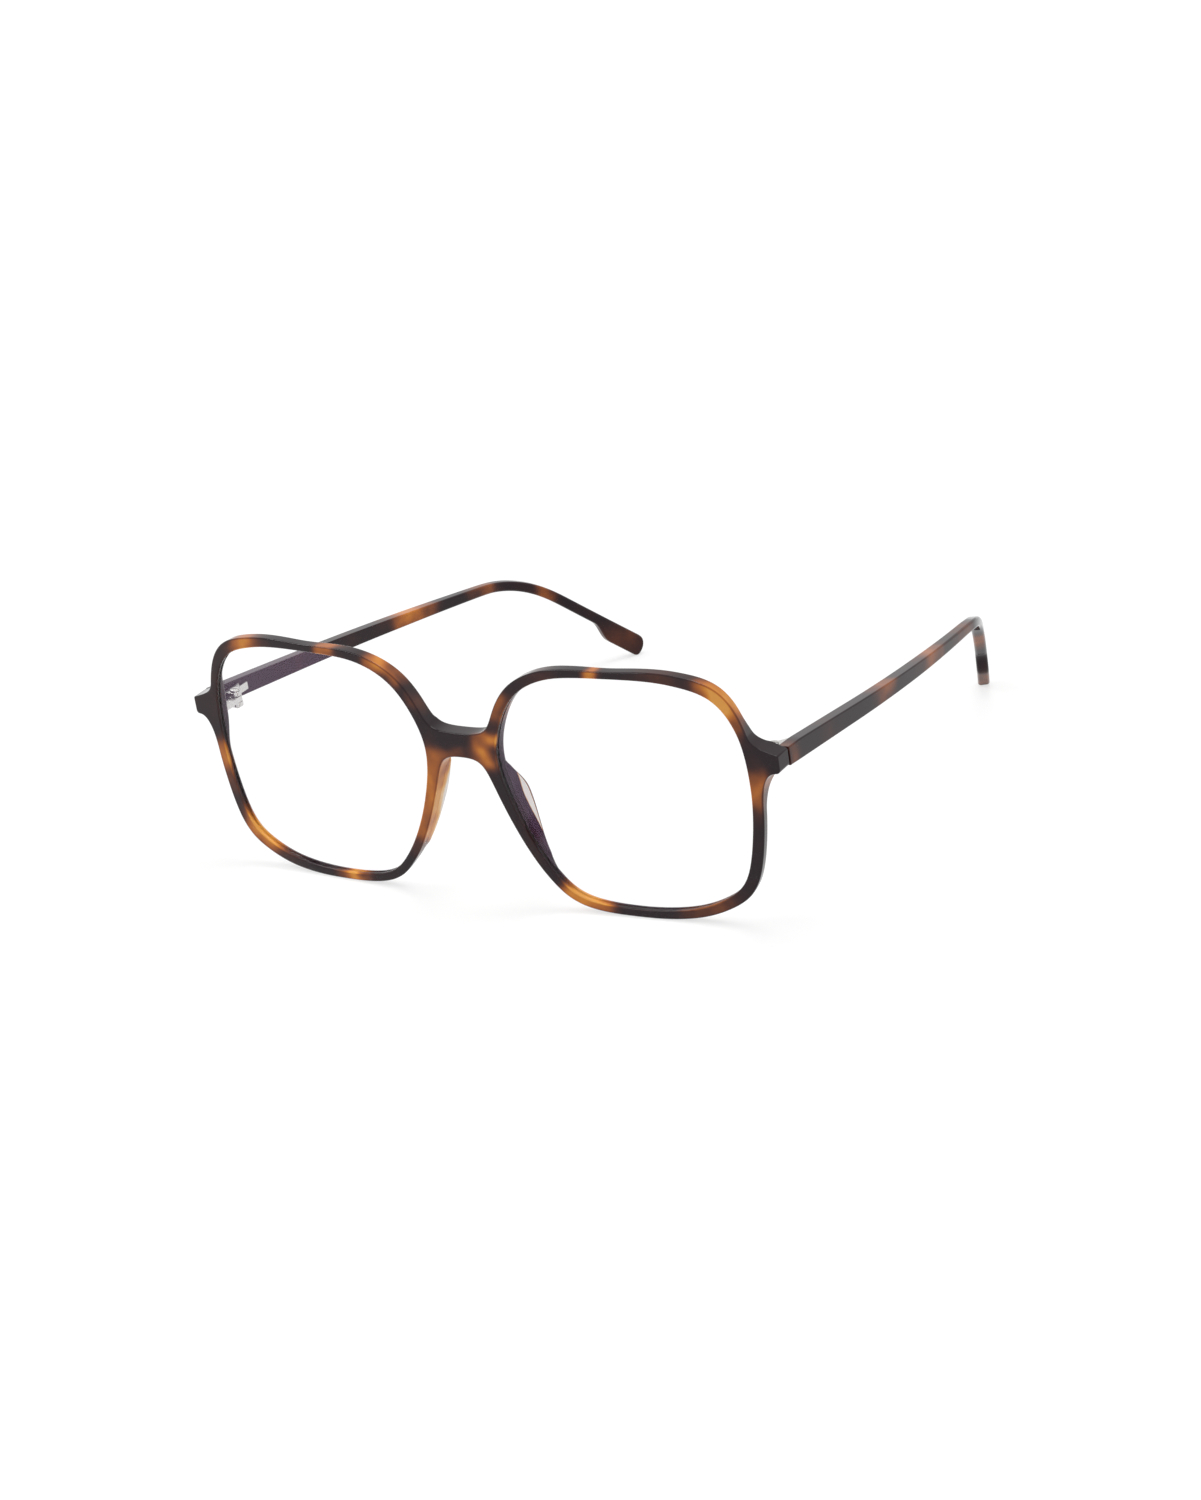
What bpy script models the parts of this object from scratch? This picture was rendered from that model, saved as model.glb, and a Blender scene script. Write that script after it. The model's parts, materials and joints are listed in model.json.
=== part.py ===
"""Eyeglasses frame: a slim square acetate front with lenses and nose pads, and two folding temples.

Metres. The pieces are drawn in the front's own upright frame: x to the wearer's left, y backward from
the front face, z up from the height of the lens centres. An empty then leans the whole frame until it
stands on its lower rims and its temple tips. Each side is drawn once, at +x, and mirrored.
"""
import math

import bmesh
import bpy
import numpy as np
from mathutils import Matrix, Vector

# Clearances
FIT_GAP = 0.00025            # between pieces that seat on or in one another
HINGE_PLAY = 0.0001          # between the hinge's leaves and its screw

# Front: the lens openings
LENS_WIDTH = 0.0550
LENS_HEIGHT = 0.0500
BRIDGE_GAP = 0.0172          # least distance between the two openings
FACE_RADIUS = 0.460          # the front follows the face on this radius
# Outline of an opening as shares of its half width and half height, from the temple side over the top
LENS_SHAPE = [(1.00, 0.08), (0.944, 0.60), (0.790, 0.856), (0.497, 0.970), (0.0, 1.0), (-0.50, 0.96),
              (-0.755, 0.82), (-0.915, 0.58), (-1.0, 0.25), (-0.900, -0.25), (-0.672, -0.727),
              (-0.475, -0.924), (0.0, -1.0), (0.49, -0.945), (0.763, -0.808), (0.851, -0.714),
              (0.922, -0.53)]
LENS_POINTS = 72

# Front: rims, bridge and end pieces
RIM_TOP = 0.0015
RIM_TEMPLE_CORNER = 0.0027   # the two upper corners
RIM_NASAL_CORNER = 0.0024
RIM_ABOVE_END = 0.0018       # where the rim dips into the end piece
RIM_SIDE = 0.0023            # beside the temple
RIM_LOWER_CORNER = 0.0025
RIM_BOTTOM = 0.0017
RIM_LOWER_NASAL = 0.0020
RIM_NASAL = 0.0022
FRONT_DEPTH = 0.0025
BRIDGE_DEPTH = 0.0036        # the front is deeper at the bridge
BRIDGE_SPAN = 0.0180         # from the middle to where that extra depth has run out
FRONT_ROUNDING = 0.0004
BRIDGE_TOP = 0.0107          # height of the bridge's upper edge over the lens centres
BRIDGE_UNDER = 0.0054
END_REACH = 0.0066           # from the opening to the end face
END_TOP = 0.0103
END_LOW = 0.0064
END_DEPTH = 0.0042           # the end piece's depth at its end face, where the temple meets it
END_STEP = 0.0003            # width of the step up to the land that the temple meets
END_LOW_CORNER = 0.0008
END_TOP_CORNER = 0.0004

# Front: where the rim's own edge gives way to the bridge and the end piece, in degrees round the lens
# from the temple side, and how far the curves between them run on in the rim's direction
END_TOP_ANGLE = 30.0
BRIDGE_TOP_ANGLE = 148.0
BRIDGE_UNDER_ANGLE = 205.0
END_LOW_ANGLE = 357.0
END_TOP_EASE = 0.0024
BRIDGE_TOP_EASE = 0.0045
BRIDGE_UNDER_EASE = 0.0150
END_LOW_EASE = 0.0055
BRIDGE_TOP_FLAT = 0.0065     # how far the bridge's upper edge runs on level from the middle
BRIDGE_UNDER_FLAT = 0.0070
END_LOW_FLAT = 0.0024        # how far the end piece's lower edge runs in level from its foot
END_TOP_RUN = 0.0037         # how its upper edge leaves the end face: inward, and upward
END_TOP_RISE = 0.0013

# Lenses, held by a chamfered edge in a groove
LENS_THICKNESS = 0.0010
LENS_CHAMFER = 0.0004
LENS_LIP = 0.00045           # how far the lens edge reaches into the rim

# Nose pads
PAD_LENGTH = 0.0200
PAD_WIDTH = 0.0030
PAD_DEPTH = 0.0034           # how far a pad stands out behind the rim
PAD_HEIGHT = -0.0060         # height of a pad's middle
PAD_SHIFT = 0.0012           # from the opening's edge to a pad's middle, toward the nose
PAD_TILT = 23.0              # degrees, the lean of the nasal rim
PAD_SPLAY = 16.0             # degrees, how a pad opens toward the face

# Temples
TEMPLE_THICKNESS = 0.0027
TEMPLE_ROUNDING = 0.0004
TEMPLE_HEIGHT = 0.0040       # at the hinge
BEND_HEIGHT = 0.0023         # at the bend over the ear
TIP_HEIGHT = 0.0047          # of the flat tip
TEMPLE_LENGTH = 0.1450
BEND_START = 0.0970          # from the hinge end to the bend
BEND_RADIUS = 0.0310
BEND_TURN = 36.0             # degrees
TIP_LENGTH = 0.0150          # of the taller tip, with its step
TIP_STEP = 0.0046
TIP_CORNER = 0.0012
TEMPLE_SLOPE = 8.5           # degrees below the square to the front
TEMPLE_TOE = 2.05            # degrees inward
STRAIGHT_RUN = 0.0300        # length that stays straight before the arm bows inward
BOW_RADIUS = 0.560
TIP_CURL = 0.35              # slope that the tip's extra turn toward the head tends to
TIP_CURL_RUN = 0.0120        # length over which that turn comes in

# Temple core
CORE_RADIUS = 0.0004
CORE_OFFSET = 0.0003         # outward from the middle of the arm, clear of the hinge leaf
CORE_START = 0.0006          # inside the arm's butt end
CORE_END_MARGIN = 0.0050     # short of the tip

# Hinges: one knuckle on the front, two on the temple
HINGE_SETBACK = 0.0037       # axis behind the seam between front and temple
HINGE_INSET = 0.0025         # axis inside the temple's inner face
HINGE_DROP = 0.0013          # hinge's middle below the middle of the end face
KNUCKLE_RADIUS = 0.00125
FRONT_KNUCKLE = 0.0012       # height of the middle knuckle
TEMPLE_KNUCKLE = 0.0010      # height of each outer knuckle
LEAF_THICKNESS = 0.0005
FRONT_LEAF_WIDTH = 0.0021
FRONT_LEAF_HEIGHT = 0.0028
FRONT_LEAF_STAND = 0.0003    # how far the front leaf stands out of the end piece
FRONT_LEAF_SINK = 0.0005     # how deep it lies in the end piece
TEMPLE_LEAF_LENGTH = 0.0060
TEMPLE_LEAF_HEIGHT = 0.0017
KNUCKLE_FOOT = 0.0042        # from the axis back to the end of the knuckles' foot

# Screws
SCREW_RADIUS = 0.0005
SCREW_HEAD_RADIUS = 0.00105
SCREW_HEAD = 0.0004
SCREW_TIP = 0.0005           # what shows under the lower knuckle
SLOT_WIDTH = 0.0003
SLOT_DEPTH = 0.0002

# Places worked out from the sizes above
LENS_X = (BRIDGE_GAP + LENS_WIDTH) / 2
END_X = LENS_X + LENS_WIDTH / 2 + END_REACH
ARM_INNER_X = END_X - TEMPLE_THICKNESS
ARM_MIDDLE_X = END_X - TEMPLE_THICKNESS / 2
SEAM_Y = END_X ** 2 / (2 * FACE_RADIUS) + END_DEPTH
BUTT_Y = SEAM_Y + FIT_GAP
AXIS_X = ARM_INNER_X - HINGE_INSET
AXIS_Y = SEAM_Y + HINGE_SETBACK
HINGE_Z = (END_TOP + END_LOW) / 2 - HINGE_DROP
LAND_X = ARM_INNER_X - END_STEP
HINGE_HALF = FRONT_KNUCKLE / 2 + HINGE_PLAY + TEMPLE_KNUCKLE
BEND_END = BEND_START + BEND_RADIUS * math.radians(BEND_TURN)

TINY = 1e-7
ROUND_SIDES = 20


def clear_scene():
    for item in list(bpy.data.objects):
        bpy.data.objects.remove(item, do_unlink=True)


def new_collection(name):
    collection = bpy.data.collections.new(name)
    bpy.context.scene.collection.children.link(collection)
    return collection


def material(name, colour, roughness, metallic=0.0):
    made = bpy.data.materials.new(name)
    made.use_nodes = True
    shader = made.node_tree.nodes["Principled BSDF"]
    shader.inputs["Base Color"].default_value = (*colour, 1.0)
    shader.inputs["Roughness"].default_value = roughness
    shader.inputs["Metallic"].default_value = metallic
    made.diffuse_color = (*colour, 1.0)
    return made


# Mesh helpers

def edit(mesh, action):
    """Run an action on the mesh's bmesh and write it back."""
    work = bmesh.new()
    work.from_mesh(mesh)
    action(work)
    work.to_mesh(mesh)
    work.free()
    return mesh


def weld(mesh):
    return edit(mesh, lambda work: bmesh.ops.remove_doubles(work, verts=work.verts, dist=10 * TINY))


def triangulate(mesh):
    return edit(mesh, lambda work: bmesh.ops.triangulate(work, faces=work.faces))


def merge_flat(mesh):
    """Join the triangles of each flat side into one face."""
    def join(work):
        bmesh.ops.dissolve_limit(work, angle_limit=math.radians(0.1), verts=work.verts, edges=work.edges)
    return edit(mesh, join)


def move_points(mesh, place):
    """Move every vertex to place(x, y, z)."""
    for vertex in mesh.vertices:
        vertex.co = place(*vertex.co)
    mesh.update()
    return mesh


def slice_at(mesh, positions):
    """Add edges where the planes x = position cross the mesh."""
    def cut(work):
        for position in positions:
            everything = work.verts[:] + work.edges[:] + work.faces[:]
            bmesh.ops.bisect_plane(work, geom=everything, dist=TINY,
                                   plane_co=(position, 0, 0), plane_no=(1, 0, 0))
    return edit(mesh, cut)


def mirrored(mesh):
    """Copy of the mesh on the other side of the x = 0 plane."""
    other = mesh.copy()
    other.transform(Matrix.Scale(-1, 4, (1, 0, 0)))
    other.flip_normals()
    return other


def evaluated_mesh(item):
    """The object's mesh with its modifiers, after which the object is removed."""
    graph = bpy.context.evaluated_depsgraph_get()
    mesh = bpy.data.meshes.new_from_object(item.evaluated_get(graph))
    bpy.data.objects.remove(item, do_unlink=True)
    return mesh


def guide(name, data):
    item = bpy.data.objects.new(name, data)
    item.hide_render = True
    item.display_type = "WIRE"
    guides.objects.link(item)
    return item


def combine(mesh, others, operation):
    """Cut the other meshes from the mesh, or join them to it."""
    target = guide("target", mesh)
    tools = [guide("tool", other) for other in others]
    for tool in tools:
        modifier = target.modifiers.new(operation, "BOOLEAN")
        modifier.operation = operation
        modifier.solver = "EXACT"
        modifier.object = tool
    result = evaluated_mesh(target)
    for tool in tools:
        bpy.data.objects.remove(tool, do_unlink=True)
    return result


def box(low, high):
    """A box between two opposite corners."""
    mesh = bpy.data.meshes.new("box")
    size = Vector(high) - Vector(low)
    centre = (Vector(high) + Vector(low)) / 2
    place = Matrix.Translation(centre) @ Matrix.Diagonal((*size, 1.0))
    return edit(mesh, lambda work: bmesh.ops.create_cube(work, size=1.0, matrix=place))


def rod(radius, low, high):
    """An upright cylinder on the hinge axis between two heights."""
    mesh = bpy.data.meshes.new("rod")
    place = Matrix.Translation((AXIS_X, AXIS_Y, (low + high) / 2))

    def fill(work):
        bmesh.ops.create_cone(work, cap_ends=True, segments=ROUND_SIDES, radius1=radius, radius2=radius,
                              depth=high - low, matrix=place)
    return edit(mesh, fill)


def poly_curve(loops, dimensions, cyclic):
    """Curve data with one straight-sided spline for each loop of points."""
    curve = bpy.data.curves.new("outline", "CURVE")
    curve.dimensions = dimensions
    for loop in loops:
        spline = curve.splines.new("POLY")
        spline.points.add(len(loop) - 1)
        for point, place in zip(spline.points, loop):
            point.co = (*place, *[0.0] * (3 - len(place)), 1.0)
        spline.use_cyclic_u = cyclic
    return curve


def flat_plate(loops, thickness, rounding=0.0, steps=1):
    """Plate with the given outlines in local x and y; its rounded edges stay inside the outline."""
    curve = poly_curve(loops, "2D", True)
    curve.fill_mode = "BOTH"
    curve.extrude = thickness / 2 - rounding
    curve.bevel_depth = rounding
    curve.bevel_resolution = steps
    curve.offset = -rounding
    return weld(evaluated_mesh(guide("plate", curve)))


def wire(points, radius):
    """Round wire with filled ends along the points."""
    curve = poly_curve([points], "3D", False)
    curve.bevel_depth = radius
    curve.bevel_resolution = 1
    curve.use_fill_caps = True
    return weld(evaluated_mesh(guide("wire", curve)))


# Outline helpers, on arrays of points in a plane

def unit(vectors):
    return vectors / np.linalg.norm(vectors, axis=-1, keepdims=True)


def smooth_loop(points, count):
    """Closed smooth curve through the points, as evenly spaced points."""
    before, start = np.roll(points, 1, axis=0), np.asarray(points)
    end, after = np.roll(points, -1, axis=0), np.roll(points, -2, axis=0)
    fine = []
    for a, b, c, d in zip(before, start, end, after):
        ta, tb, tc = np.sqrt([np.linalg.norm(b - a), np.linalg.norm(c - b), np.linalg.norm(d - c)])
        leave = (c - b) - tb * ((c - a) / (ta + tb) - (b - a) / ta)
        arrive = (c - b) + tb * ((d - c) / tc - (d - b) / (tb + tc))
        for t in np.linspace(0, 1, 24, endpoint=False):
            fine.append(b + leave * t + (3 * (c - b) - 2 * leave - arrive) * t ** 2
                        + (leave + arrive - 2 * (c - b)) * t ** 3)
    fine = np.array(fine + [fine[0]])
    travel = np.concatenate([[0], np.cumsum(np.linalg.norm(np.diff(fine, axis=0), axis=1))])
    wanted = np.linspace(0, travel[-1], count, endpoint=False)
    return np.column_stack([np.interp(wanted, travel, fine[:, axis]) for axis in (0, 1)])


def directions(loop):
    return unit(np.roll(loop, -1, axis=0) - np.roll(loop, 1, axis=0))


def grown(loop, distance):
    """The counter-clockwise loop moved outward by a distance, or by one distance for each point."""
    ahead = directions(loop)
    outward = np.column_stack([ahead[:, 1], -ahead[:, 0]])
    return loop + outward * np.reshape(distance, (-1, 1))


def bezier(start, leave, arrive, end, count):
    """Points on a Bezier curve, without its two ends."""
    t = np.linspace(0, 1, count + 2)[1:-1, None]
    return ((1 - t) ** 3 * np.asarray(start) + 3 * t * (1 - t) ** 2 * np.asarray(leave)
            + 3 * t ** 2 * (1 - t) * np.asarray(arrive) + t ** 3 * np.asarray(end))


def arc(centre, radius, first, last, count):
    """Points on an arc between two angles in degrees, with its ends."""
    turn = np.radians(np.linspace(first, last, count))
    return np.asarray(centre) + radius * np.column_stack([np.cos(turn), np.sin(turn)])


# Front

def lens_loop():
    shape = np.array(LENS_SHAPE) * (LENS_WIDTH / 2, LENS_HEIGHT / 2)
    return smooth_loop(shape + (LENS_X, 0), LENS_POINTS)


def polar_angles(loop):
    offset = (loop - (LENS_X, 0)) / (LENS_WIDTH, LENS_HEIGHT)
    return np.degrees(np.arctan2(offset[:, 1], offset[:, 0])) % 360


def rim_loop():
    """Outer edge of a rim, with its width changing round the lens."""
    angles = [0, 30, 47, 90, 135, 180, 225, 270, 320]
    widths = [RIM_SIDE, RIM_ABOVE_END, RIM_TEMPLE_CORNER, RIM_TOP, RIM_NASAL_CORNER, RIM_NASAL,
              RIM_LOWER_NASAL, RIM_BOTTOM, RIM_LOWER_CORNER]
    loop = lens_loop()
    return grown(loop, np.interp(polar_angles(loop), angles, widths, period=360))


def front_outline():
    """Counter-clockwise outline of the whole front: rims, bridge and end pieces."""
    rim = rim_loop()
    ahead = directions(rim)
    angles = polar_angles(lens_loop())
    top = np.flatnonzero((angles > END_TOP_ANGLE) & (angles < BRIDGE_TOP_ANGLE))
    low = np.flatnonzero((angles > BRIDGE_UNDER_ANGLE) & (angles < END_LOW_ANGLE))
    nasal, side = low[0], low[-1]
    upper, bridge = top[0], top[-1]
    under = np.array((0, BRIDGE_UNDER))
    over = np.array((0, BRIDGE_TOP))
    foot = np.array((END_X - END_LOW_CORNER, END_LOW))
    head = np.array((END_X - END_TOP_CORNER, END_TOP))
    half = [
        [under],
        bezier(under, under + (BRIDGE_UNDER_FLAT, 0), rim[nasal] - BRIDGE_UNDER_EASE * ahead[nasal],
               rim[nasal], 13),
        rim[low],
        bezier(rim[side], rim[side] + END_LOW_EASE * ahead[side], foot - (END_LOW_FLAT, 0), foot, 5),
        arc(foot + (0, END_LOW_CORNER), END_LOW_CORNER, -90, 0, 4),
        arc(head - (0, END_TOP_CORNER), END_TOP_CORNER, 0, 90, 3),
        bezier(head, head + (-END_TOP_RUN, END_TOP_RISE), rim[upper] - END_TOP_EASE * ahead[upper],
               rim[upper], 6),
        rim[top],
        bezier(rim[bridge], rim[bridge] + BRIDGE_TOP_EASE * ahead[bridge], over + (BRIDGE_TOP_FLAT, 0),
               over, 7),
        [over],
    ]
    right = np.concatenate(half)
    left = right[-2:0:-1] * (-1, 1)
    return np.concatenate([right, left])


def face_sag(x):
    return x ** 2 / (2 * FACE_RADIUS)


def follow_face(x, y, z):
    return (x, y + face_sag(x), z)


def bridge_extra(x):
    """Extra depth of the front near the bridge."""
    share = min(abs(x) / BRIDGE_SPAN, 1)
    return (BRIDGE_DEPTH - FRONT_DEPTH) * (1 - share * share * (3 - 2 * share))


def upright(u, v, w):
    """From a plate lying in x and y to one standing behind the front plane."""
    return (u, FRONT_DEPTH / 2 - w, v)


def lens_plate(gap):
    """The flat lens with its chamfered edge, or the cutter for its groove when a gap is given."""
    loop = grown(lens_loop(), LENS_LIP + gap)
    plate = merge_flat(flat_plate([loop], LENS_THICKNESS + 2 * gap, LENS_CHAMFER, steps=0))
    return move_points(plate, upright)


def front_leaf_box(gap):
    """Corners of the front hinge leaf's plate, or of its pocket when a gap is given."""
    outer = LAND_X - FIT_GAP
    back = face_sag(outer) + FRONT_DEPTH
    low = (outer - FRONT_LEAF_WIDTH - gap, back - FRONT_LEAF_SINK - gap,
           HINGE_Z - FRONT_LEAF_HEIGHT / 2 - gap)
    high = (outer + gap, back + FRONT_LEAF_STAND + gap, HINGE_Z + FRONT_LEAF_HEIGHT / 2 + gap)
    return low, high


def front_mesh():
    opening = lens_loop()
    holes = [opening[::-1], opening * (-1, 1)]
    plate = flat_plate([front_outline(), *holes], FRONT_DEPTH, FRONT_ROUNDING)
    move_points(plate, upright)
    groove = lens_plate(FIT_GAP)
    plate = combine(plate, [groove, mirrored(groove)], "DIFFERENCE")
    slice_at(plate, [-ARM_INNER_X, -LAND_X, LAND_X, ARM_INNER_X])
    triangulate(plate)
    back_edge = FRONT_DEPTH - FRONT_ROUNDING - TINY * 10

    def shape(x, y, z):
        on_land = abs(x) > ARM_INNER_X - TINY * 10
        extra = SEAM_Y - FRONT_DEPTH - face_sag(x) if on_land else bridge_extra(x)
        return follow_face(x, y + extra * (y > back_edge), z)
    move_points(plate, shape)
    pocket = box(*front_leaf_box(FIT_GAP))
    return combine(plate, [pocket, mirrored(pocket)], "DIFFERENCE")


def lens_mesh():
    plate = lens_plate(0.0)
    slices = 10
    slice_at(plate, [LENS_X + LENS_WIDTH * (k / slices - 0.5) for k in range(1, slices)])
    triangulate(plate)
    return move_points(plate, follow_face)


def pad_mesh():
    """Half an ellipsoid, cut flat where it is glued to the back of the nasal rim."""
    nasal = lens_loop()
    below = np.abs(nasal[:, 1] - PAD_HEIGHT) + (nasal[:, 0] > LENS_X) * LENS_WIDTH
    x, z = nasal[np.argmin(below)] - (PAD_SHIFT, 0)
    lean = Matrix.Rotation(math.radians(-PAD_TILT), 4, "Y")
    splay = Matrix.Rotation(math.radians(-PAD_SPLAY), 4, "Z")
    size = Matrix.Diagonal((PAD_WIDTH / 2, PAD_DEPTH, PAD_LENGTH / 2, 1.0))
    place = Matrix.Translation((x, 0, z)) @ splay @ lean @ size
    mesh = bpy.data.meshes.new("pad")

    def form(work):
        bmesh.ops.create_uvsphere(work, u_segments=20, v_segments=12, radius=1.0, matrix=place)
        everything = work.verts[:] + work.edges[:] + work.faces[:]
        bmesh.ops.bisect_plane(work, geom=everything, dist=TINY, plane_co=(x, 0, z), plane_no=(0, 1, 0),
                               clear_inner=True)
        base = [edge for edge in work.edges if edge.is_boundary]
        bmesh.ops.contextual_create(work, geom=base)
        bmesh.ops.recalc_face_normals(work, faces=work.faces)
    triangulate(edit(mesh, form))
    seat = FRONT_DEPTH + FIT_GAP
    return move_points(mesh, lambda x, y, z: follow_face(x, y + seat + bridge_extra(x), z))


# Temples, drawn flat in y and z and then bowed toward the head

def arm_top(s):
    """Point on the arm's top edge, and its slope below the level, at a distance along it."""
    slope = math.radians(TEMPLE_SLOPE)
    turn = math.radians(BEND_TURN)
    y = BUTT_Y + min(s, BEND_START) * math.cos(slope)
    z = END_TOP - min(s, BEND_START) * math.sin(slope)
    bent = min(max((s - BEND_START) / BEND_RADIUS, 0), turn)
    y += BEND_RADIUS * (math.sin(slope + bent) - math.sin(slope))
    z += BEND_RADIUS * (math.cos(slope + bent) - math.cos(slope))
    beyond = max(s - BEND_END, 0)
    y += beyond * math.cos(slope + bent)
    z -= beyond * math.sin(slope + bent)
    return np.array((y, z)), slope + bent


def arm_height(s):
    taper = min(s / BEND_START, 1)
    slim = TEMPLE_HEIGHT + (BEND_HEIGHT - TEMPLE_HEIGHT) * taper
    step = min(max((s - (TEMPLE_LENGTH - TIP_LENGTH)) / TIP_STEP, 0), 1)
    return slim + (TIP_HEIGHT - BEND_HEIGHT) * step * step * (3 - 2 * step)


def arm_point(s, share):
    """Point at a share of the arm's height below its top edge."""
    top, slope = arm_top(s)
    down = np.array((-math.sin(slope), -math.cos(slope)))
    return top + share * arm_height(s) * down


def arm_stations(first, last):
    """Distances along the arm, closer where it bends or changes its height."""
    step_start = TEMPLE_LENGTH - TIP_LENGTH
    stops = [first, STRAIGHT_RUN, BEND_START, BEND_END, step_start, step_start + TIP_STEP, last]
    counts = [2, 10, 7, 3, 4, 2]
    runs = [np.linspace(a, b, n, endpoint=False) for a, b, n in zip(stops, stops[1:], counts) if b > a]
    return np.concatenate([*runs, [last]])


def temple_outline():
    """Counter-clockwise outline of the arm seen from its side, with a butt end parallel to the front."""
    last = TEMPLE_LENGTH - TIP_CORNER
    upper = [arm_point(s, 0.0) for s in arm_stations(0.0, last)]
    lower = [arm_point(s, 1.0) for s in arm_stations(0.0, last)]
    slope = arm_top(last)[1]
    end = arm_top(TEMPLE_LENGTH)[0]
    along = np.array((math.cos(slope), -math.sin(slope)))
    down = np.array((-math.sin(slope), -math.cos(slope)))
    tilt = -math.degrees(slope)
    low_corner = end - TIP_CORNER * along + (TIP_HEIGHT - TIP_CORNER) * down
    top_corner = end - TIP_CORNER * along + TIP_CORNER * down
    lower[0] = np.array((BUTT_Y, END_TOP - TEMPLE_HEIGHT))
    tip = [*arc(low_corner, TIP_CORNER, tilt - 90, tilt, 4)[1:],
           *arc(top_corner, TIP_CORNER, tilt, tilt + 90, 4)[:-1]]
    return np.array([*lower, *tip, *upper[::-1]])


def bow(x, y, z):
    """Lean the flat arm toward the head: a straight toe-in, a long bow and the tip's extra turn."""
    bend_y = arm_top(BEND_START)[0][0]
    bow_run = max(y - arm_top(STRAIGHT_RUN)[0][0], 0)
    curl_run = max(y - bend_y, 0)
    inward = math.tan(math.radians(TEMPLE_TOE)) * (y - AXIS_Y) + bow_run ** 2 / (2 * BOW_RADIUS)
    inward += TIP_CURL * curl_run ** 2 / (curl_run + TIP_CURL_RUN)
    return (x - inward, y, z)


def from_axis(mesh):
    mesh.transform(Matrix.Translation((-AXIS_X, -AXIS_Y, -HINGE_Z)))
    return mesh


def core_route(first):
    x = ARM_MIDDLE_X + CORE_OFFSET
    stations = arm_stations(first, TEMPLE_LENGTH - CORE_END_MARGIN)
    return [(x, *arm_point(s, 0.5 * BEND_HEIGHT / arm_height(s) if s > BEND_END else 0.5)) for s in stations]


def temple_leaf_box(gap):
    """Corners of the temple hinge leaf's plate, or of its pocket when a gap is given."""
    front = AXIS_Y + KNUCKLE_FOOT - TEMPLE_LEAF_LENGTH / 2 - LEAF_THICKNESS
    low = (ARM_INNER_X - gap, front - gap, HINGE_Z - TEMPLE_LEAF_HEIGHT / 2 - gap)
    high = (ARM_INNER_X + LEAF_THICKNESS + gap, front + TEMPLE_LEAF_LENGTH + gap,
            HINGE_Z + TEMPLE_LEAF_HEIGHT / 2 + gap)
    return low, high


def temple_mesh():
    plate = flat_plate([temple_outline()], TEMPLE_THICKNESS, TEMPLE_ROUNDING)
    move_points(plate, lambda u, v, w: (ARM_MIDDLE_X + w, u, v))
    channel = wire(core_route(-CORE_START), CORE_RADIUS + FIT_GAP)
    pocket = box(*temple_leaf_box(FIT_GAP))
    plate = combine(plate, [channel, pocket], "DIFFERENCE")
    triangulate(plate)
    return from_axis(move_points(plate, bow))


def core_mesh():
    core = triangulate(wire(core_route(CORE_START), CORE_RADIUS))
    return from_axis(move_points(core, bow))


# Hinges

def temple_hinge_mesh():
    """Two knuckles on a foot, with a plate let into the arm's inner face."""
    axis = np.array((AXIS_X, AXIS_Y))
    seat = ARM_INNER_X - FIT_GAP
    plan = [*arc(axis, KNUCKLE_RADIUS, 270, 120, 9), (seat, AXIS_Y + KNUCKLE_FOOT),
            (seat, AXIS_Y - KNUCKLE_RADIUS)]
    knuckle = flat_plate([plan[::-1]], 2 * HINGE_HALF)
    knuckle.transform(Matrix.Translation((0, 0, HINGE_Z)))
    clear = KNUCKLE_RADIUS + 2 * HINGE_PLAY
    half_slot = FRONT_KNUCKLE / 2 + HINGE_PLAY
    slot = box((AXIS_X - 2 * clear, AXIS_Y - 2 * clear, HINGE_Z - half_slot),
               (seat + clear, AXIS_Y + clear, HINGE_Z + half_slot))
    hole = rod(SCREW_RADIUS + HINGE_PLAY, HINGE_Z - 2 * HINGE_HALF, HINGE_Z + 2 * HINGE_HALF)
    low, high = temple_leaf_box(0.0)
    plate = box((seat - FIT_GAP, low[1], low[2]), high)
    leaf = combine(knuckle, [plate], "UNION")
    leaf = combine(leaf, [slot, hole], "DIFFERENCE")
    triangulate(leaf)
    return from_axis(move_points(leaf, bow))


def front_hinge_mesh():
    """One knuckle on a tongue, with a plate let into the back of the end piece."""
    low, high = front_leaf_box(0.0)
    axis = np.array((AXIS_X, AXIS_Y))
    root = high[1] - FRONT_LEAF_STAND / 2
    plan = [*arc(axis, KNUCKLE_RADIUS, 0, 180, 11), (AXIS_X - KNUCKLE_RADIUS, root),
            (AXIS_X + KNUCKLE_RADIUS, root)]
    tongue = flat_plate([plan], FRONT_KNUCKLE)
    tongue.transform(Matrix.Translation((0, 0, HINGE_Z)))
    hole = rod(SCREW_RADIUS + HINGE_PLAY, HINGE_Z - FRONT_KNUCKLE, HINGE_Z + FRONT_KNUCKLE)
    leaf = combine(tongue, [box(low, high)], "UNION")
    return combine(leaf, [hole], "DIFFERENCE")


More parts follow.
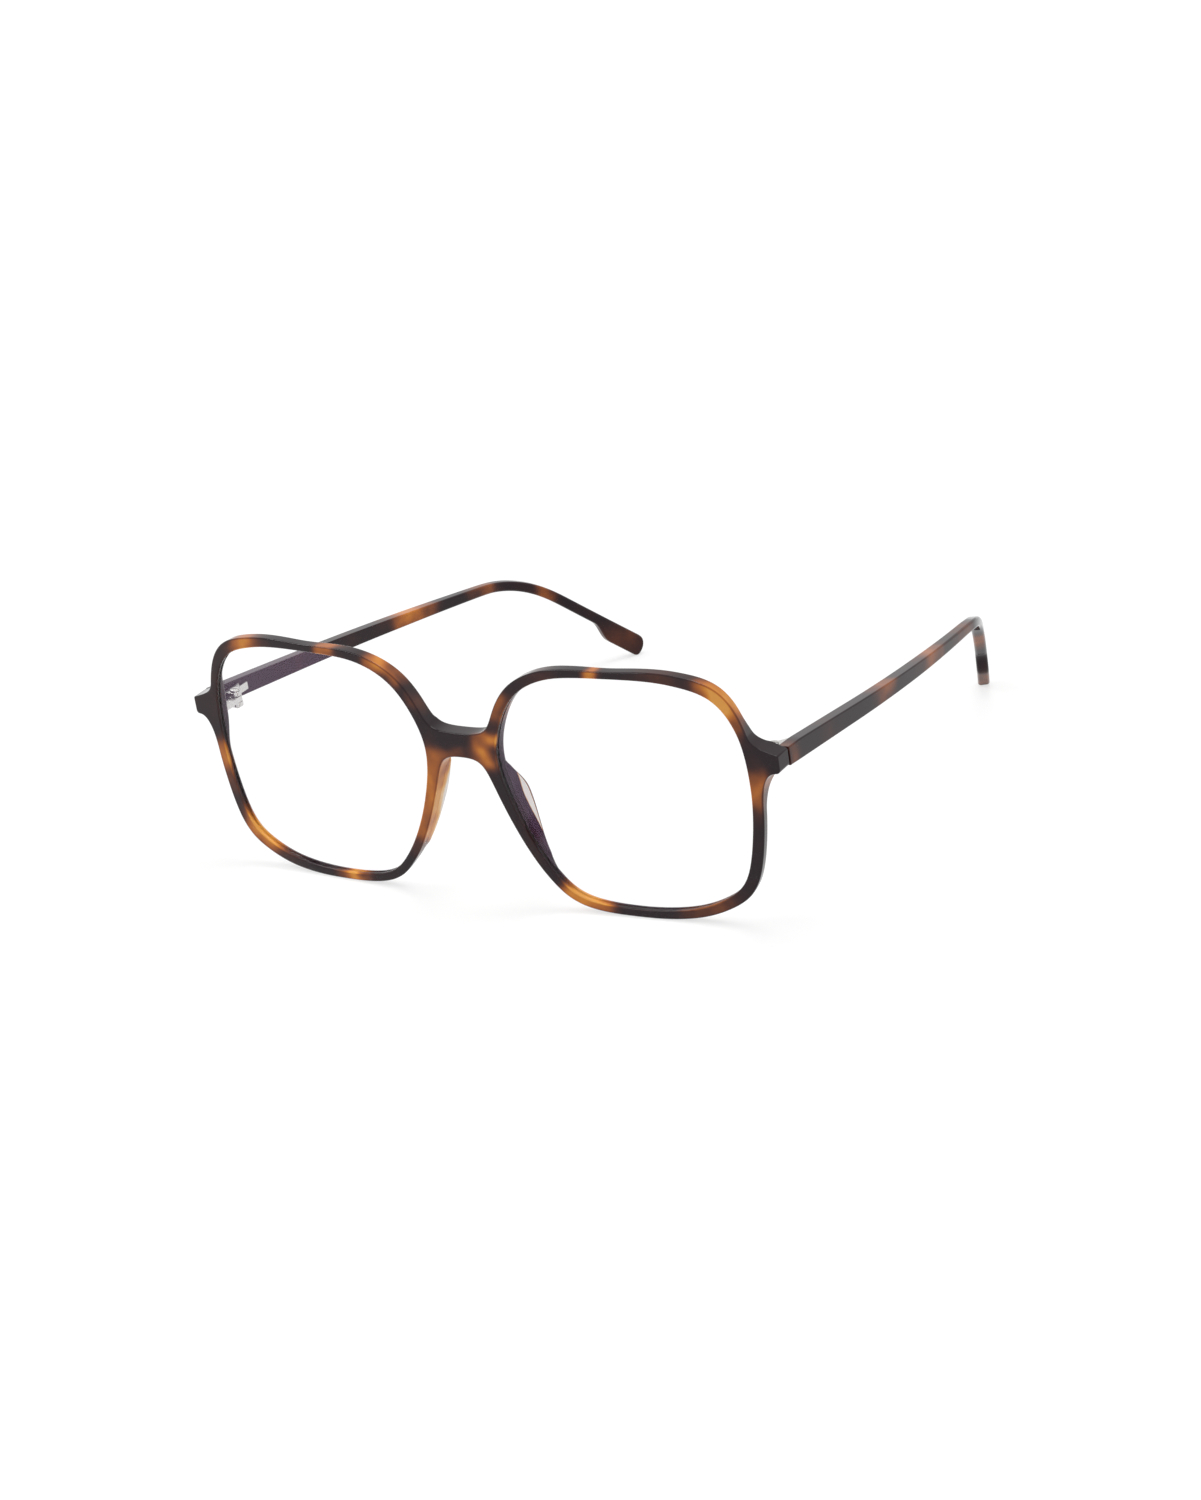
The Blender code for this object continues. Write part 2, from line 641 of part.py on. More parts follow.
def screw_mesh():
    """Turned screw with a slotted head, standing on the hinge axis."""
    head_low = HINGE_Z + HINGE_HALF + HINGE_PLAY
    head_high = head_low + SCREW_HEAD
    end = HINGE_Z - HINGE_HALF - SCREW_TIP
    profile = [(0, head_high), (SCREW_HEAD_RADIUS - SCREW_HEAD / 3, head_high),
               (SCREW_HEAD_RADIUS, head_high - SCREW_HEAD / 3), (SCREW_HEAD_RADIUS, head_low),
               (SCREW_RADIUS, head_low), (SCREW_RADIUS, end), (0, end)]
    mesh = bpy.data.meshes.new("screw")
    mesh.from_pydata([(x, 0, z) for x, z in profile], [(k, k + 1) for k in range(len(profile) - 1)], [])
    turned = guide("screw", mesh)
    modifier = turned.modifiers.new("turn", "SCREW")
    modifier.steps = ROUND_SIDES
    modifier.render_steps = ROUND_SIDES
    modifier.use_merge_vertices = True
    modifier.merge_threshold = TINY * 10
    screw = weld(evaluated_mesh(turned))
    screw.transform(Matrix.Translation((AXIS_X, AXIS_Y, 0)))
    reach = 2 * SCREW_HEAD_RADIUS
    slot = box((AXIS_X - reach, AXIS_Y - SLOT_WIDTH / 2, head_high - SLOT_DEPTH),
               (AXIS_X + reach, AXIS_Y + SLOT_WIDTH / 2, head_high + SLOT_DEPTH))
    return combine(screw, [slot], "DIFFERENCE")


# Assembly

def empty(name, parent, place):
    item = bpy.data.objects.new(name, None)
    item.empty_display_size = 0.01
    item.parent = parent
    item.location = place
    parts.objects.link(item)
    return item


def add_part(name, mesh, finish, parent):
    mesh.name = name
    mesh.materials.clear()
    mesh.materials.append(finish)
    mesh.shade_smooth()
    mesh.set_sharp_from_angle(angle=math.radians(35))
    item = bpy.data.objects.new(name, mesh)
    item.parent = parent
    parts.objects.link(item)
    return item


def add_pair(name, mesh, finish, parents):
    """The piece on the wearer's left, as drawn, and its mirror image on the right."""
    sides = {"left": mesh, "right": mirrored(mesh)}
    return [add_part(f"{side}_{name}", sides[side], finish, parents[side]) for side in sides]


def points_of(item, offset=(0, 0, 0)):
    return np.array([vertex.co for vertex in item.data.vertices]) + offset


def stand_up(pose, front, arm):
    """Lean the frame until rims and tips touch one plane, and put the origin under its middle."""
    front_points = points_of(front)
    arm_points = points_of(arm, (AXIS_X, AXIS_Y, HINGE_Z))

    def heights(points, lean):
        return points[:, 1] * math.sin(lean) + points[:, 2] * math.cos(lean)

    low, high = 0.0, math.radians(20)
    for _ in range(50):
        lean = (low + high) / 2
        if heights(arm_points, lean).min() < heights(front_points, lean).min():
            low = lean
        else:
            high = lean
    everything = np.concatenate([front_points, arm_points])
    depths = everything[:, 1] * math.cos(lean) - everything[:, 2] * math.sin(lean)
    pose.rotation_euler = (lean, 0, 0)
    pose.location = (0, -(depths.min() + depths.max()) / 2, -heights(everything, lean).min())


clear_scene()
parts = new_collection("eyeglasses_frame")
guides = new_collection("guides")

tortoise = material("tortoise_acetate", (0.035, 0.022, 0.020), 0.18)
clear_lens = material("clear_lens", (0.90, 0.92, 0.95), 0.05)
hinge_metal = material("hinge_metal", (0.62, 0.61, 0.60), 0.30, 1.0)
core_metal = material("core_metal", (0.66, 0.65, 0.62), 0.35, 1.0)

frame_pose = empty("frame_pose", None, (0, 0, 0))
fixed = {"left": frame_pose, "right": frame_pose}
axes = {side: empty(f"{side}_hinge_axis", frame_pose, (sign * AXIS_X, AXIS_Y, HINGE_Z))
        for side, sign in (("left", 1), ("right", -1))}

front_frame = add_part("front_frame", front_mesh(), tortoise, frame_pose)
add_pair("lens", lens_mesh(), clear_lens, fixed)
add_pair("nose_pad", pad_mesh(), tortoise, fixed)
add_pair("front_hinge", front_hinge_mesh(), hinge_metal, fixed)
add_pair("hinge_screw", screw_mesh(), hinge_metal, fixed)
temples = add_pair("temple", temple_mesh(), tortoise, axes)
add_pair("temple_core", core_mesh(), core_metal, axes)
add_pair("temple_hinge", temple_hinge_mesh(), hinge_metal, axes)
stand_up(frame_pose, front_frame, temples[0])
bpy.context.view_layer.update()
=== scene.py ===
# %% [markdown]
# # A folding pair of eyeglasses in tortoise acetate
# The object stands open on its lower rims and on the tips of its two arms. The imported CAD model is
# already the right size and in the right place, so it is loaded first, as a fixed frame. Each visible
# piece is then made again with finer edges and a real finish, and rides on the CAD body it belongs to.

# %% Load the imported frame
import json
import math

import bmesh
import bpy
import numpy as np
from mathutils import Matrix, Vector


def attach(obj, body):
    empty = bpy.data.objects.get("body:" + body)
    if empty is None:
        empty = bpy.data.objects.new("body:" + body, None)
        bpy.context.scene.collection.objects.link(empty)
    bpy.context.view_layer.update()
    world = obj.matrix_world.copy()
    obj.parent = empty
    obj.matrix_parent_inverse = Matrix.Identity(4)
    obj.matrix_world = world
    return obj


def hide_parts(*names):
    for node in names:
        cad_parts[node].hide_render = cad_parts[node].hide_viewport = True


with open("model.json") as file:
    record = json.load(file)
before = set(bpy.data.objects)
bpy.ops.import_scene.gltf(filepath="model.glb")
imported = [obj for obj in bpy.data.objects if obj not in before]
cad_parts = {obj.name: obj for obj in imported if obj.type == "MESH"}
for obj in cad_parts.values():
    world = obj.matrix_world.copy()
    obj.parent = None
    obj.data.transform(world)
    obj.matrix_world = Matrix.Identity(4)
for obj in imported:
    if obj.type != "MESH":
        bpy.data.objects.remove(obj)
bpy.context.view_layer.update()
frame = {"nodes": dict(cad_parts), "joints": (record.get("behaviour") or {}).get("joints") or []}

# %% [markdown]
# ## The front's own frame
# An optician measures a frame from its front: the lens size, the gap at the bridge, the arm's length.
# So the pieces are drawn in the front's own upright frame, with x to the wearer's left, y backward and
# z up from the middle of the lenses. The real pair leans a little, because the arms' tips touch the
# table. The fold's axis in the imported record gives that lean, and its place gives the shift.

# %% Driving sizes
MM = 0.001
LENS_WIDTH = 55.0 * MM
LENS_HEIGHT = 50.0 * MM
BRIDGE_GAP = 17.2 * MM
FACE_RADIUS = 460.0 * MM
FRONT_DEPTH = 2.5 * MM
END_REACH = 6.6 * MM            # from the opening to the end face
END_TOP = 10.3 * MM
END_LOW = 6.4 * MM
END_DEPTH = 4.2 * MM
END_STEP = 0.3 * MM
ARM_THICKNESS = 2.7 * MM
SEAM_GAP = 0.25 * MM
HINGE_SETBACK = 3.7 * MM
HINGE_INSET = 2.5 * MM
HINGE_DROP = 1.3 * MM

LENS_X = (BRIDGE_GAP + LENS_WIDTH) / 2
END_X = LENS_X + LENS_WIDTH / 2 + END_REACH
ARM_INNER_X = END_X - ARM_THICKNESS
LAND_X = ARM_INNER_X - END_STEP
SEAM_Y = END_X ** 2 / (2 * FACE_RADIUS) + END_DEPTH
BUTT_Y = SEAM_Y + SEAM_GAP
AXIS = Vector((ARM_INNER_X - HINGE_INSET, SEAM_Y + HINGE_SETBACK, (END_TOP + END_LOW) / 2 - HINGE_DROP))

fold = frame["joints"][0]
LEAN = math.atan2(-fold["axis"][1], fold["axis"][2])
TURN = Matrix.Rotation(LEAN, 4, "X")
SHIFT = Vector(fold["pos_m"]) - TURN @ AXIS
STAND = Matrix.Translation(SHIFT) @ TURN
print("lean %.2f degrees, lens centres %.1f mm up" % (math.degrees(LEAN), SHIFT.z / MM))

# %% [markdown]
# ## Node helpers
# Geometry Nodes and shader trees are both graphs of nodes joined by links. Writing them out one link
# at a time is long, so one helper adds a node, sets its options and fills its inputs, either with a
# value or with the output of another node.

# %% Add nodes and groups
def node(tree, kind, inputs=None, **options):
    """A new node, with its options and its inputs, which are values or other nodes' sockets."""
    made = tree.nodes.new(kind)
    for name, value in options.items():
        setattr(made, name, value)
    for name, value in (inputs or {}).items():
        if isinstance(value, bpy.types.NodeSocket):
            tree.links.new(value, made.inputs[name])
        else:
            made.inputs[name].default_value = value
    return made


def group(name, kind, inputs, outputs):
    """A node group with named sockets, and its input and output nodes."""
    tree = bpy.data.node_groups.new(name, kind)
    for direction, sockets in (("INPUT", inputs), ("OUTPUT", outputs)):
        for label, socket_type in sockets.items():
            tree.interface.new_socket(label, in_out=direction, socket_type="NodeSocket" + socket_type)
    return tree, node(tree, "NodeGroupInput").outputs, node(tree, "NodeGroupOutput")


def shader_math(tree, operation, *values):
    return node(tree, "ShaderNodeMath", dict(enumerate(values)), operation=operation).outputs[0]


def vector_math(tree, operation, *values):
    made = node(tree, "ShaderNodeVectorMath", dict(enumerate(values)), operation=operation)
    return made.outputs["Value" if operation == "LENGTH" else "Vector"]


def noise(tree, vector, scale, detail):
    """Seamless cloud noise from 0 to 1; scale is in waves per millimetre."""
    made = node(tree, "ShaderNodeTexNoise", {"Vector": vector, "Scale": scale, "Detail": detail})
    return made.outputs


def mix_colour(tree, share, first, second):
    made = node(tree, "ShaderNodeMix", {"Factor": share, "A": first, "B": second}, data_type="RGBA")
    return made.outputs["Result"]


print("node helpers ready")

# %% [markdown]
# ## Tortoise acetate
# The sheet that such a frame is cut from is cast from near-black and amber acetate, kneaded together
# while soft. So the colour runs right through: an amber patch shows on the face, the wall and the back.
# A pattern on Object coordinates does the same, because it is a solid pattern in space. One group makes
# a soft patch at a place of our choice. Another turns the sum of the patches into the colours that a
# kneaded sheet shows: black, red-brown where the two have mixed, orange and amber. It also paints light
# and shade into the colour: a paler painted glow along the openings' edges and the nose side, painted
# shade on the outer edges and walls, and painted highlights on the pads, which alone reach the pale tone
# at the end of the row.

# %% Coordinates in the front's frame, and a soft patch
PATCH_CORE, PATCH_EDGE = 0.10, 1.25     # shares of a patch's reach between which it fades out


def front_coordinates(tree):
    """Object coordinates as millimetres in the front's upright frame."""
    back = TURN.inverted()
    texture = node(tree, "ShaderNodeTexCoord")
    inputs = {"Vector": texture.outputs["Object"], "Location": -(back @ SHIFT) / MM,
              "Rotation": (-LEAN, 0, 0), "Scale": (1 / MM, 1 / MM, 1 / MM)}
    return node(tree, "ShaderNodeMapping", inputs, vector_type="POINT").outputs["Vector"]


def make_patch_group():
    tree, given, result = group("soft_patch", "ShaderNodeTree",
                                {"Vector": "Vector", "Centre": "Vector", "Reach": "Vector",
                                 "Strength": "Float"},
                                {"Mask": "Float"})
    offset = vector_math(tree, "SUBTRACT", given["Vector"], given["Centre"])
    share = vector_math(tree, "LENGTH", vector_math(tree, "DIVIDE", offset, given["Reach"]))
    fade = node(tree, "ShaderNodeMapRange", {"Value": share, "From Min": PATCH_CORE, "From Max": PATCH_EDGE,
                                             "To Min": 1.0, "To Max": 0.0}, interpolation_type="SMOOTHSTEP")
    tree.links.new(shader_math(tree, "MULTIPLY", fade.outputs["Result"], given["Strength"]),
                   result.inputs["Mask"])
    return tree


soft_patch = make_patch_group()
print("group:", soft_patch.name)

# %% The kneaded colours
KNEADED = [(0.00, (0.0090, 0.0030, 0.0065)), (0.13, (0.0230, 0.0065, 0.0080)),
           (0.27, (0.0850, 0.0220, 0.0110)), (0.40, (0.2600, 0.0700, 0.0140)),
           (0.53, (0.5200, 0.1500, 0.0180)), (0.67, (0.7600, 0.3300, 0.0300)),
           (0.83, (0.8200, 0.5800, 0.3000)), (1.00, (0.8400, 0.8400, 0.8600))]
AMBER = 0.67                    # the place of clear amber in that row
RICHEST = 0.97                  # no patch goes past this, so only the painted pad highlight is paler than amber
EDGE_LIGHT = 0.50               # strength of the painted edge light and shade, beside an amber patch
EDGE_LIGHT_OUTSIDE = 0.15       # what counts as a patch there, where none is near
# Cloud noises as waves per millimetre, detail, strength and shift
KNEADING = (0.28, 2.0, 0.20, -0.10)
BROWNING = (0.06, 2.0, 0.50, -0.19)
POLISH = (0.90, 4.0, 0.08, 0.03)
TUMBLING = (3.5, 3.0)           # the fine relief that is left: waves per millimetre and detail


def make_tortoise_group():
    tree, given, result = group("tortoise", "ShaderNodeTree",
                                {"Vector": "Vector", "Patches": "Float", "Painted edge light and shade": "Float",
                                 "Painted pad highlight": "Float"},
                                {"Color": "Color", "Roughness": "Float", "Height": "Float"})

    def cloud(scale, detail, strength, shift):
        waves = noise(tree, given["Vector"], scale, detail)["Fac"]
        return shader_math(tree, "MULTIPLY_ADD", waves, strength, shift)

    # Painted edge light and shade: the edge mark makes the colour paler or darker, most beside amber patches
    nearby = shader_math(tree, "ADD", given["Patches"], EDGE_LIGHT_OUTSIDE)
    pale = shader_math(tree, "MULTIPLY", nearby, EDGE_LIGHT)
    painted_edge = shader_math(tree, "MULTIPLY", given["Painted edge light and shade"], pale)
    depth = given["Patches"]
    for change in (cloud(*KNEADING), cloud(*BROWNING), painted_edge):
        depth = shader_math(tree, "ADD", depth, change)
    # The painted pad highlight is added after the cap, so only it reaches the pale end of the row
    depth = shader_math(tree, "ADD", shader_math(tree, "MINIMUM", depth, RICHEST), given["Painted pad highlight"])
    ramp = node(tree, "ShaderNodeValToRGB", {"Fac": shader_math(tree, "MULTIPLY", depth, AMBER)})
    ramp.color_ramp.interpolation = "B_SPLINE"
    while len(ramp.color_ramp.elements) < len(KNEADED):
        ramp.color_ramp.elements.new(0.5)
    for element, (place, colour) in zip(ramp.color_ramp.elements, KNEADED):
        element.position = place
        element.color = (*colour, 1.0)
    links = {"Color": ramp.outputs["Color"],
             "Roughness": cloud(*POLISH),
             "Height": noise(tree, given["Vector"], *TUMBLING)["Fac"]}
    for label, socket in links.items():
        tree.links.new(socket, result.inputs[label])
    return tree


tortoise = make_tortoise_group()
print("group:", tortoise.name, "with", len(KNEADED), "colours")

# %% [markdown]
# Where the patches lie is chosen from the photograph. A patch is an ellipsoid: its centre, its
# reach along x, y and z in millimetres, and its strength, where 1 is clear amber and 0.4 red-brown.
# The coordinates are stirred with a slow noise first, so no patch keeps a clean oval edge.

# %% A tortoise finish from a list of patches
THROUGH = 40.0                  # reach along a direction in which the patch has no end
STIR = (0.16, 1.0)              # the slow noise that stirs them: waves per millimetre and detail
STIR_REACH = 7.0                # and its reach in millimetres
TUMBLED_STRENGTH, TUMBLED_HEIGHT = 0.02, 0.05 * MM
ACETATE_IOR = 1.49
FRONT_GLOSS, ARM_GLOSS = 0.28, 0.20


def principled(name):
    made = bpy.data.materials.new(name)
    made.use_nodes = True
    return made, made.node_tree, made.node_tree.nodes["Principled BSDF"]


def tortoise_finish(name, patches, gloss):
    finish, tree, shader = principled(name)
    vector = front_coordinates(tree)
    stir = vector_math(tree, "SUBTRACT", noise(tree, vector, *STIR)["Color"], (0.5, 0.5, 0.5))
    stirred = vector_math(tree, "ADD", vector, vector_math(tree, "MULTIPLY", stir, (STIR_REACH,) * 3))
    total = 0.0
    for centre, reach, strength in patches:
        patch = node(tree, "ShaderNodeGroup", node_tree=soft_patch)
        tree.links.new(stirred, patch.inputs["Vector"])
        patch.inputs["Centre"].default_value = centre
        patch.inputs["Reach"].default_value = reach
        patch.inputs["Strength"].default_value = strength
        rest = shader_math(tree, "SUBTRACT", 1.0, total)
        total = shader_math(tree, "MULTIPLY_ADD", patch.outputs["Mask"], rest, total)
    blend = node(tree, "ShaderNodeGroup", node_tree=tortoise)
    tree.links.new(vector, blend.inputs["Vector"])
    tree.links.new(total, blend.inputs["Patches"])
    # Painted light and shade read from the meshes: edge light and shade on the front, highlights on the pads
    for label, attribute in (("Painted edge light and shade", "painted_edge_light_and_shade"), ("Painted pad highlight", "painted_pad_highlight")):
        mark = node(tree, "ShaderNodeAttribute", attribute_name=attribute)
        tree.links.new(mark.outputs["Fac"], blend.inputs[label])
    bump = node(tree, "ShaderNodeBump", {"Height": blend.outputs["Height"], "Strength": TUMBLED_STRENGTH,
                                         "Distance": TUMBLED_HEIGHT})
    tree.links.new(blend.outputs["Color"], shader.inputs["Base Color"])
    tree.links.new(blend.outputs["Roughness"], shader.inputs["Roughness"])
    tree.links.new(bump.outputs["Normal"], shader.inputs["Normal"])
    shader.inputs["IOR"].default_value = ACETATE_IOR
    shader.inputs["Specular IOR Level"].default_value = gloss
    return finish


FRONT_PATCHES = [
    ((-52.8, 0, 25.4), (6.5, THROUGH, 6.5), 0.80), ((-30.5, 0, 26.9), (5.0, THROUGH, 5.0), 0.75),
    ((-15.6, 0, 25.0), (7.0, THROUGH, 6.0), 0.88), ((-8.0, 0, 17.6), (4.0, THROUGH, 4.0), 0.40),
    ((-64.4, 3.0, -3.5), (4.5, 3.2, 9.0), 0.65), ((-56.5, 0, -18.5), (10.0, THROUGH, 8.5), 0.85),
    ((-33.2, 0, -25.5), (5.0, THROUGH, 4.5), 0.75), ((-8.2, 0, 3.0), (5.0, THROUGH, 8.0), 0.60),
    ((-9.5, 0, -5.5), (5.5, THROUGH, 9.0), 0.60), ((-13.5, 0, -13.0), (5.0, THROUGH, 6.5), 0.50),
    ((6.6, -1.2, 8.0), (5.2, 3.2, 5.6), 1.00), ((-3.0, 0, 5.4), (8.0, THROUGH, 3.0), 0.40),
    ((10.7, 0, 17.7), (5.0, THROUGH, 5.0), 0.50), ((32.8, 0, 26.3), (2.8, THROUGH, 5.0), 0.85),
    ((60.5, 0, 21.0), (6.8, THROUGH, 7.8), 0.95), ((64.8, 0, 3.0), (4.5, THROUGH, 7.0), 0.70),
    ((23.6, 0, -23.3), (8.5, THROUGH, 6.0), 0.90), ((51.2, 0, -23.4), (8.0, THROUGH, 6.0), 0.35),
    ((47.0, 0, 26.0), (9.0, THROUGH, 5.0), 0.25), ((22.0, 0, 25.0), (7.0, THROUGH, 5.0), 0.25),
]
LEFT_ARM_PATCHES = [
    ((70, 10.5, 8.5), (THROUGH, 4.0, 8.0), 0.40), ((70, 25.7, 6.7), (THROUGH, 6.0, 7.0), 0.20),
    ((66, 55.0, 5.0), (THROUGH, 9.0, 6.0), 0.55), ((63, 80.0, 0.0), (THROUGH, 9.0, 8.0), 0.55),
    ((60, 100.0, -4.0), (THROUGH, 8.0, 8.0), 0.35), ((52, 124.0, -18.0), (THROUGH, 6.0, 7.0), 0.50),
    ((48, 139.0, -32.0), (THROUGH, 6.0, 7.0), 0.45),
]
RIGHT_ARM_PATCHES = [
    ((-64, 78.0, 0.0), (THROUGH, 11.0, 8.0), 0.75), ((-60, 101.7, -3.8), (THROUGH, 6.0, 7.0), 0.45),
    ((-54, 119.0, -11.0), (THROUGH, 5.0, 7.0), 0.55), ((-48, 137.0, -30.0), (THROUGH, 9.0, 9.0), 0.28),
]
front_acetate = tortoise_finish("tortoise_front", FRONT_PATCHES, FRONT_GLOSS)
left_arm_acetate = tortoise_finish("tortoise_left_arm", LEFT_ARM_PATCHES, ARM_GLOSS)
right_arm_acetate = tortoise_finish("tortoise_right_arm", RIGHT_ARM_PATCHES, ARM_GLOSS)
print("tortoise finishes with", len(FRONT_PATCHES), "patches on the front")

# %% [markdown]
# ## Lens and metal finishes
# A lens is clear, with a coating that turns its weak reflection violet. Hinges and screws are nickel
# silver, drawn and then tumbled, so fine lines run along the metal and its gloss is uneven. Light lines
# come from a noise stretched along one axis.

# %% Clear finish
SMUDGES = (0.08, 3.0)           # waves per millimetre and detail
SMUDGE_ROUGHNESS = 0.004
LENS_COLOURS = (0.99, 0.99, 1.0, 1), (1.0, 1.0, 1.0, 1)
LENS_IOR = 1.35
VIOLET_COATING = (0.85, 0.40, 0.95, 1.0)


def lens_finish():
    finish, tree, shader = principled("coated_lens")
    smudge = noise(tree, front_coordinates(tree), *SMUDGES)["Fac"]
    tree.links.new(shader_math(tree, "MULTIPLY", smudge, SMUDGE_ROUGHNESS), shader.inputs["Roughness"])
    tree.links.new(mix_colour(tree, smudge, *LENS_COLOURS), shader.inputs["Base Color"])
    shader.inputs["Transmission Weight"].default_value = 1.0
    shader.inputs["IOR"].default_value = LENS_IOR
    shader.inputs["Specular Tint"].default_value = VIOLET_COATING
    return finish


coated_lens = lens_finish()
print("clear finish:", coated_lens.name)

# %% Metal finishes
LINES = (1.0, 3.0)              # waves per stretched millimetre and detail
WORN_GLOSS = (1.4, 2.0)         # waves per millimetre and detail
GLOSS_STRENGTH, GLOSS_SHIFT = 0.25, 0.14
LINE_STRENGTH, LINE_HEIGHT = 0.10, 0.02 * MM


def make_drawn_metal_group():
    tree, given, result = group("drawn_metal", "ShaderNodeTree", {"Vector": "Vector", "Stretch": "Vector"},
                                {"Lines": "Float", "Gloss": "Float"})
    stretched = vector_math(tree, "MULTIPLY", given["Vector"], given["Stretch"])
    tree.links.new(noise(tree, stretched, *LINES)["Fac"], result.inputs["Lines"])
    tree.links.new(noise(tree, given["Vector"], *WORN_GLOSS)["Fac"], result.inputs["Gloss"])
    return tree


drawn_metal = make_drawn_metal_group()


def metal_finish(name, dark, light, stretch):
    finish, tree, shader = principled(name)
    lines = node(tree, "ShaderNodeGroup", node_tree=drawn_metal)
    tree.links.new(front_coordinates(tree), lines.inputs["Vector"])
    lines.inputs["Stretch"].default_value = stretch
    bump = node(tree, "ShaderNodeBump", {"Height": lines.outputs["Lines"], "Strength": LINE_STRENGTH,
                                         "Distance": LINE_HEIGHT})
    colour = mix_colour(tree, lines.outputs["Lines"], (*dark, 1), (*light, 1))
    tree.links.new(colour, shader.inputs["Base Color"])
    tree.links.new(shader_math(tree, "MULTIPLY_ADD", lines.outputs["Gloss"], GLOSS_STRENGTH, GLOSS_SHIFT),
                   shader.inputs["Roughness"])
    tree.links.new(bump.outputs["Normal"], shader.inputs["Normal"])
    shader.inputs["Metallic"].default_value = 1.0
    return finish


hinge_metal = metal_finish("nickel_silver", (0.42, 0.41, 0.40), (0.80, 0.79, 0.77), (9.0, 1.5, 9.0))
core_metal = metal_finish("core_wire", (0.50, 0.49, 0.46), (0.68, 0.67, 0.64), (14.0, 0.8, 14.0))
print("metal finishes:", hinge_metal.name, core_metal.name)

# %% [markdown]
# ## Outlines
# The front is cut from flat sheet on a router, so it is drawn as flat outlines: the opening for a lens,
# and the edge of the whole front. A few points give the opening's shape, and a smooth curve runs
# through them. The rim's outer edge is the opening moved outward, further at the corners than at the
# top. Curves then join the rims to the bridge and to the end pieces that carry the hinges.

# %% Curve helpers
SPAN_STEPS = 60                 # fine points between two given ones


def unit(vectors):
    return vectors / np.linalg.norm(vectors, axis=-1, keepdims=True)


def smooth_loop(points, count):
    """Closed smooth curve through the points, as evenly spaced points."""
    before, start = np.roll(points, 1, axis=0), np.asarray(points)
    end, after = np.roll(points, -1, axis=0), np.roll(points, -2, axis=0)
    fine = []
    for a, b, c, d in zip(before, start, end, after):
        ta, tb, tc = np.sqrt([np.linalg.norm(b - a), np.linalg.norm(c - b), np.linalg.norm(d - c)])
        leave = (c - b) - tb * ((c - a) / (ta + tb) - (b - a) / ta)
        arrive = (c - b) + tb * ((d - c) / tc - (d - b) / (tb + tc))
        for t in np.linspace(0, 1, SPAN_STEPS, endpoint=False):
            fine.append(b + leave * t + (3 * (c - b) - 2 * leave - arrive) * t ** 2
                        + (leave + arrive - 2 * (c - b)) * t ** 3)
    fine = np.array(fine + [fine[0]])
    travel = np.concatenate([[0], np.cumsum(np.linalg.norm(np.diff(fine, axis=0), axis=1))])
    wanted = np.linspace(0, travel[-1], count, endpoint=False)
    return np.column_stack([np.interp(wanted, travel, fine[:, axis]) for axis in (0, 1)])


def relaxed(values, passes):
    """A closed row of values with its small kinks averaged out."""
    for _ in range(passes):
        values = (np.roll(values, 1, axis=0) + 2 * values + np.roll(values, -1, axis=0)) / 4
    return values


def directions(loop):
    return unit(np.roll(loop, -1, axis=0) - np.roll(loop, 1, axis=0))


def grown(loop, distance):
    """The counter-clockwise loop moved outward by a distance, or by one distance for each point."""
    ahead = directions(loop)
    outward = np.column_stack([ahead[:, 1], -ahead[:, 0]])
    return loop + outward * np.reshape(distance, (-1, 1))


def bezier(start, leave, arrive, end, count):
    """Points on a Bezier curve, without its two ends."""
    t = np.linspace(0, 1, count + 2)[1:-1, None]
    return ((1 - t) ** 3 * np.asarray(start) + 3 * t * (1 - t) ** 2 * np.asarray(leave)
            + 3 * t ** 2 * (1 - t) * np.asarray(arrive) + t ** 3 * np.asarray(end))


def arc(centre, radius, first, last, count):
    """Points on an arc between two angles in degrees, with its ends."""
    turn = np.radians(np.linspace(first, last, count))
    return np.asarray(centre) + radius * np.column_stack([np.cos(turn), np.sin(turn)])


print("curve helpers ready")

# %% The opening and the rim
# Shares of the half width and half height, from the temple side over the top
LENS_SHAPE = [(1.00, 0.08), (0.944, 0.60), (0.790, 0.856), (0.497, 0.970), (0.0, 1.0), (-0.50, 0.96),
              (-0.755, 0.82), (-0.915, 0.58), (-1.0, 0.25), (-0.900, -0.25), (-0.672, -0.727),
              (-0.475, -0.924), (0.0, -1.0), (0.49, -0.945), (0.763, -0.808), (0.851, -0.714),
              (0.922, -0.53)]
LENS_POINTS = 480
OPENING_PASSES, RIM_PASSES = 14, 60     # how often the kinks are averaged out
# Rim width at angles round the lens, from the temple side over the top
RIM_WIDTHS = {0: 2.3 * MM, 30: 1.8 * MM, 47: 2.7 * MM, 90: 1.5 * MM, 135: 2.4 * MM, 180: 2.2 * MM,
              225: 2.0 * MM, 270: 1.7 * MM, 320: 2.5 * MM}

half_sizes = np.array((LENS_WIDTH / 2, LENS_HEIGHT / 2))
opening = smooth_loop(np.array(LENS_SHAPE) * half_sizes + (LENS_X, 0), LENS_POINTS)
opening = relaxed(opening, OPENING_PASSES)
offsets = (opening - (LENS_X, 0)) / half_sizes
lens_angles = np.degrees(np.arctan2(offsets[:, 1], offsets[:, 0])) % 360
rim_widths = np.interp(lens_angles, list(RIM_WIDTHS), list(RIM_WIDTHS.values()), period=360)
rim = grown(opening, relaxed(rim_widths, RIM_PASSES))
print("opening %.1f x %.1f mm" % tuple(np.ptp(opening, axis=0) / MM))

# %% The edge of the whole front
BRIDGE_TOP = 10.7 * MM
BRIDGE_UNDER = 5.4 * MM
END_LOW_CORNER = 0.8 * MM
END_TOP_CORNER = 0.4 * MM
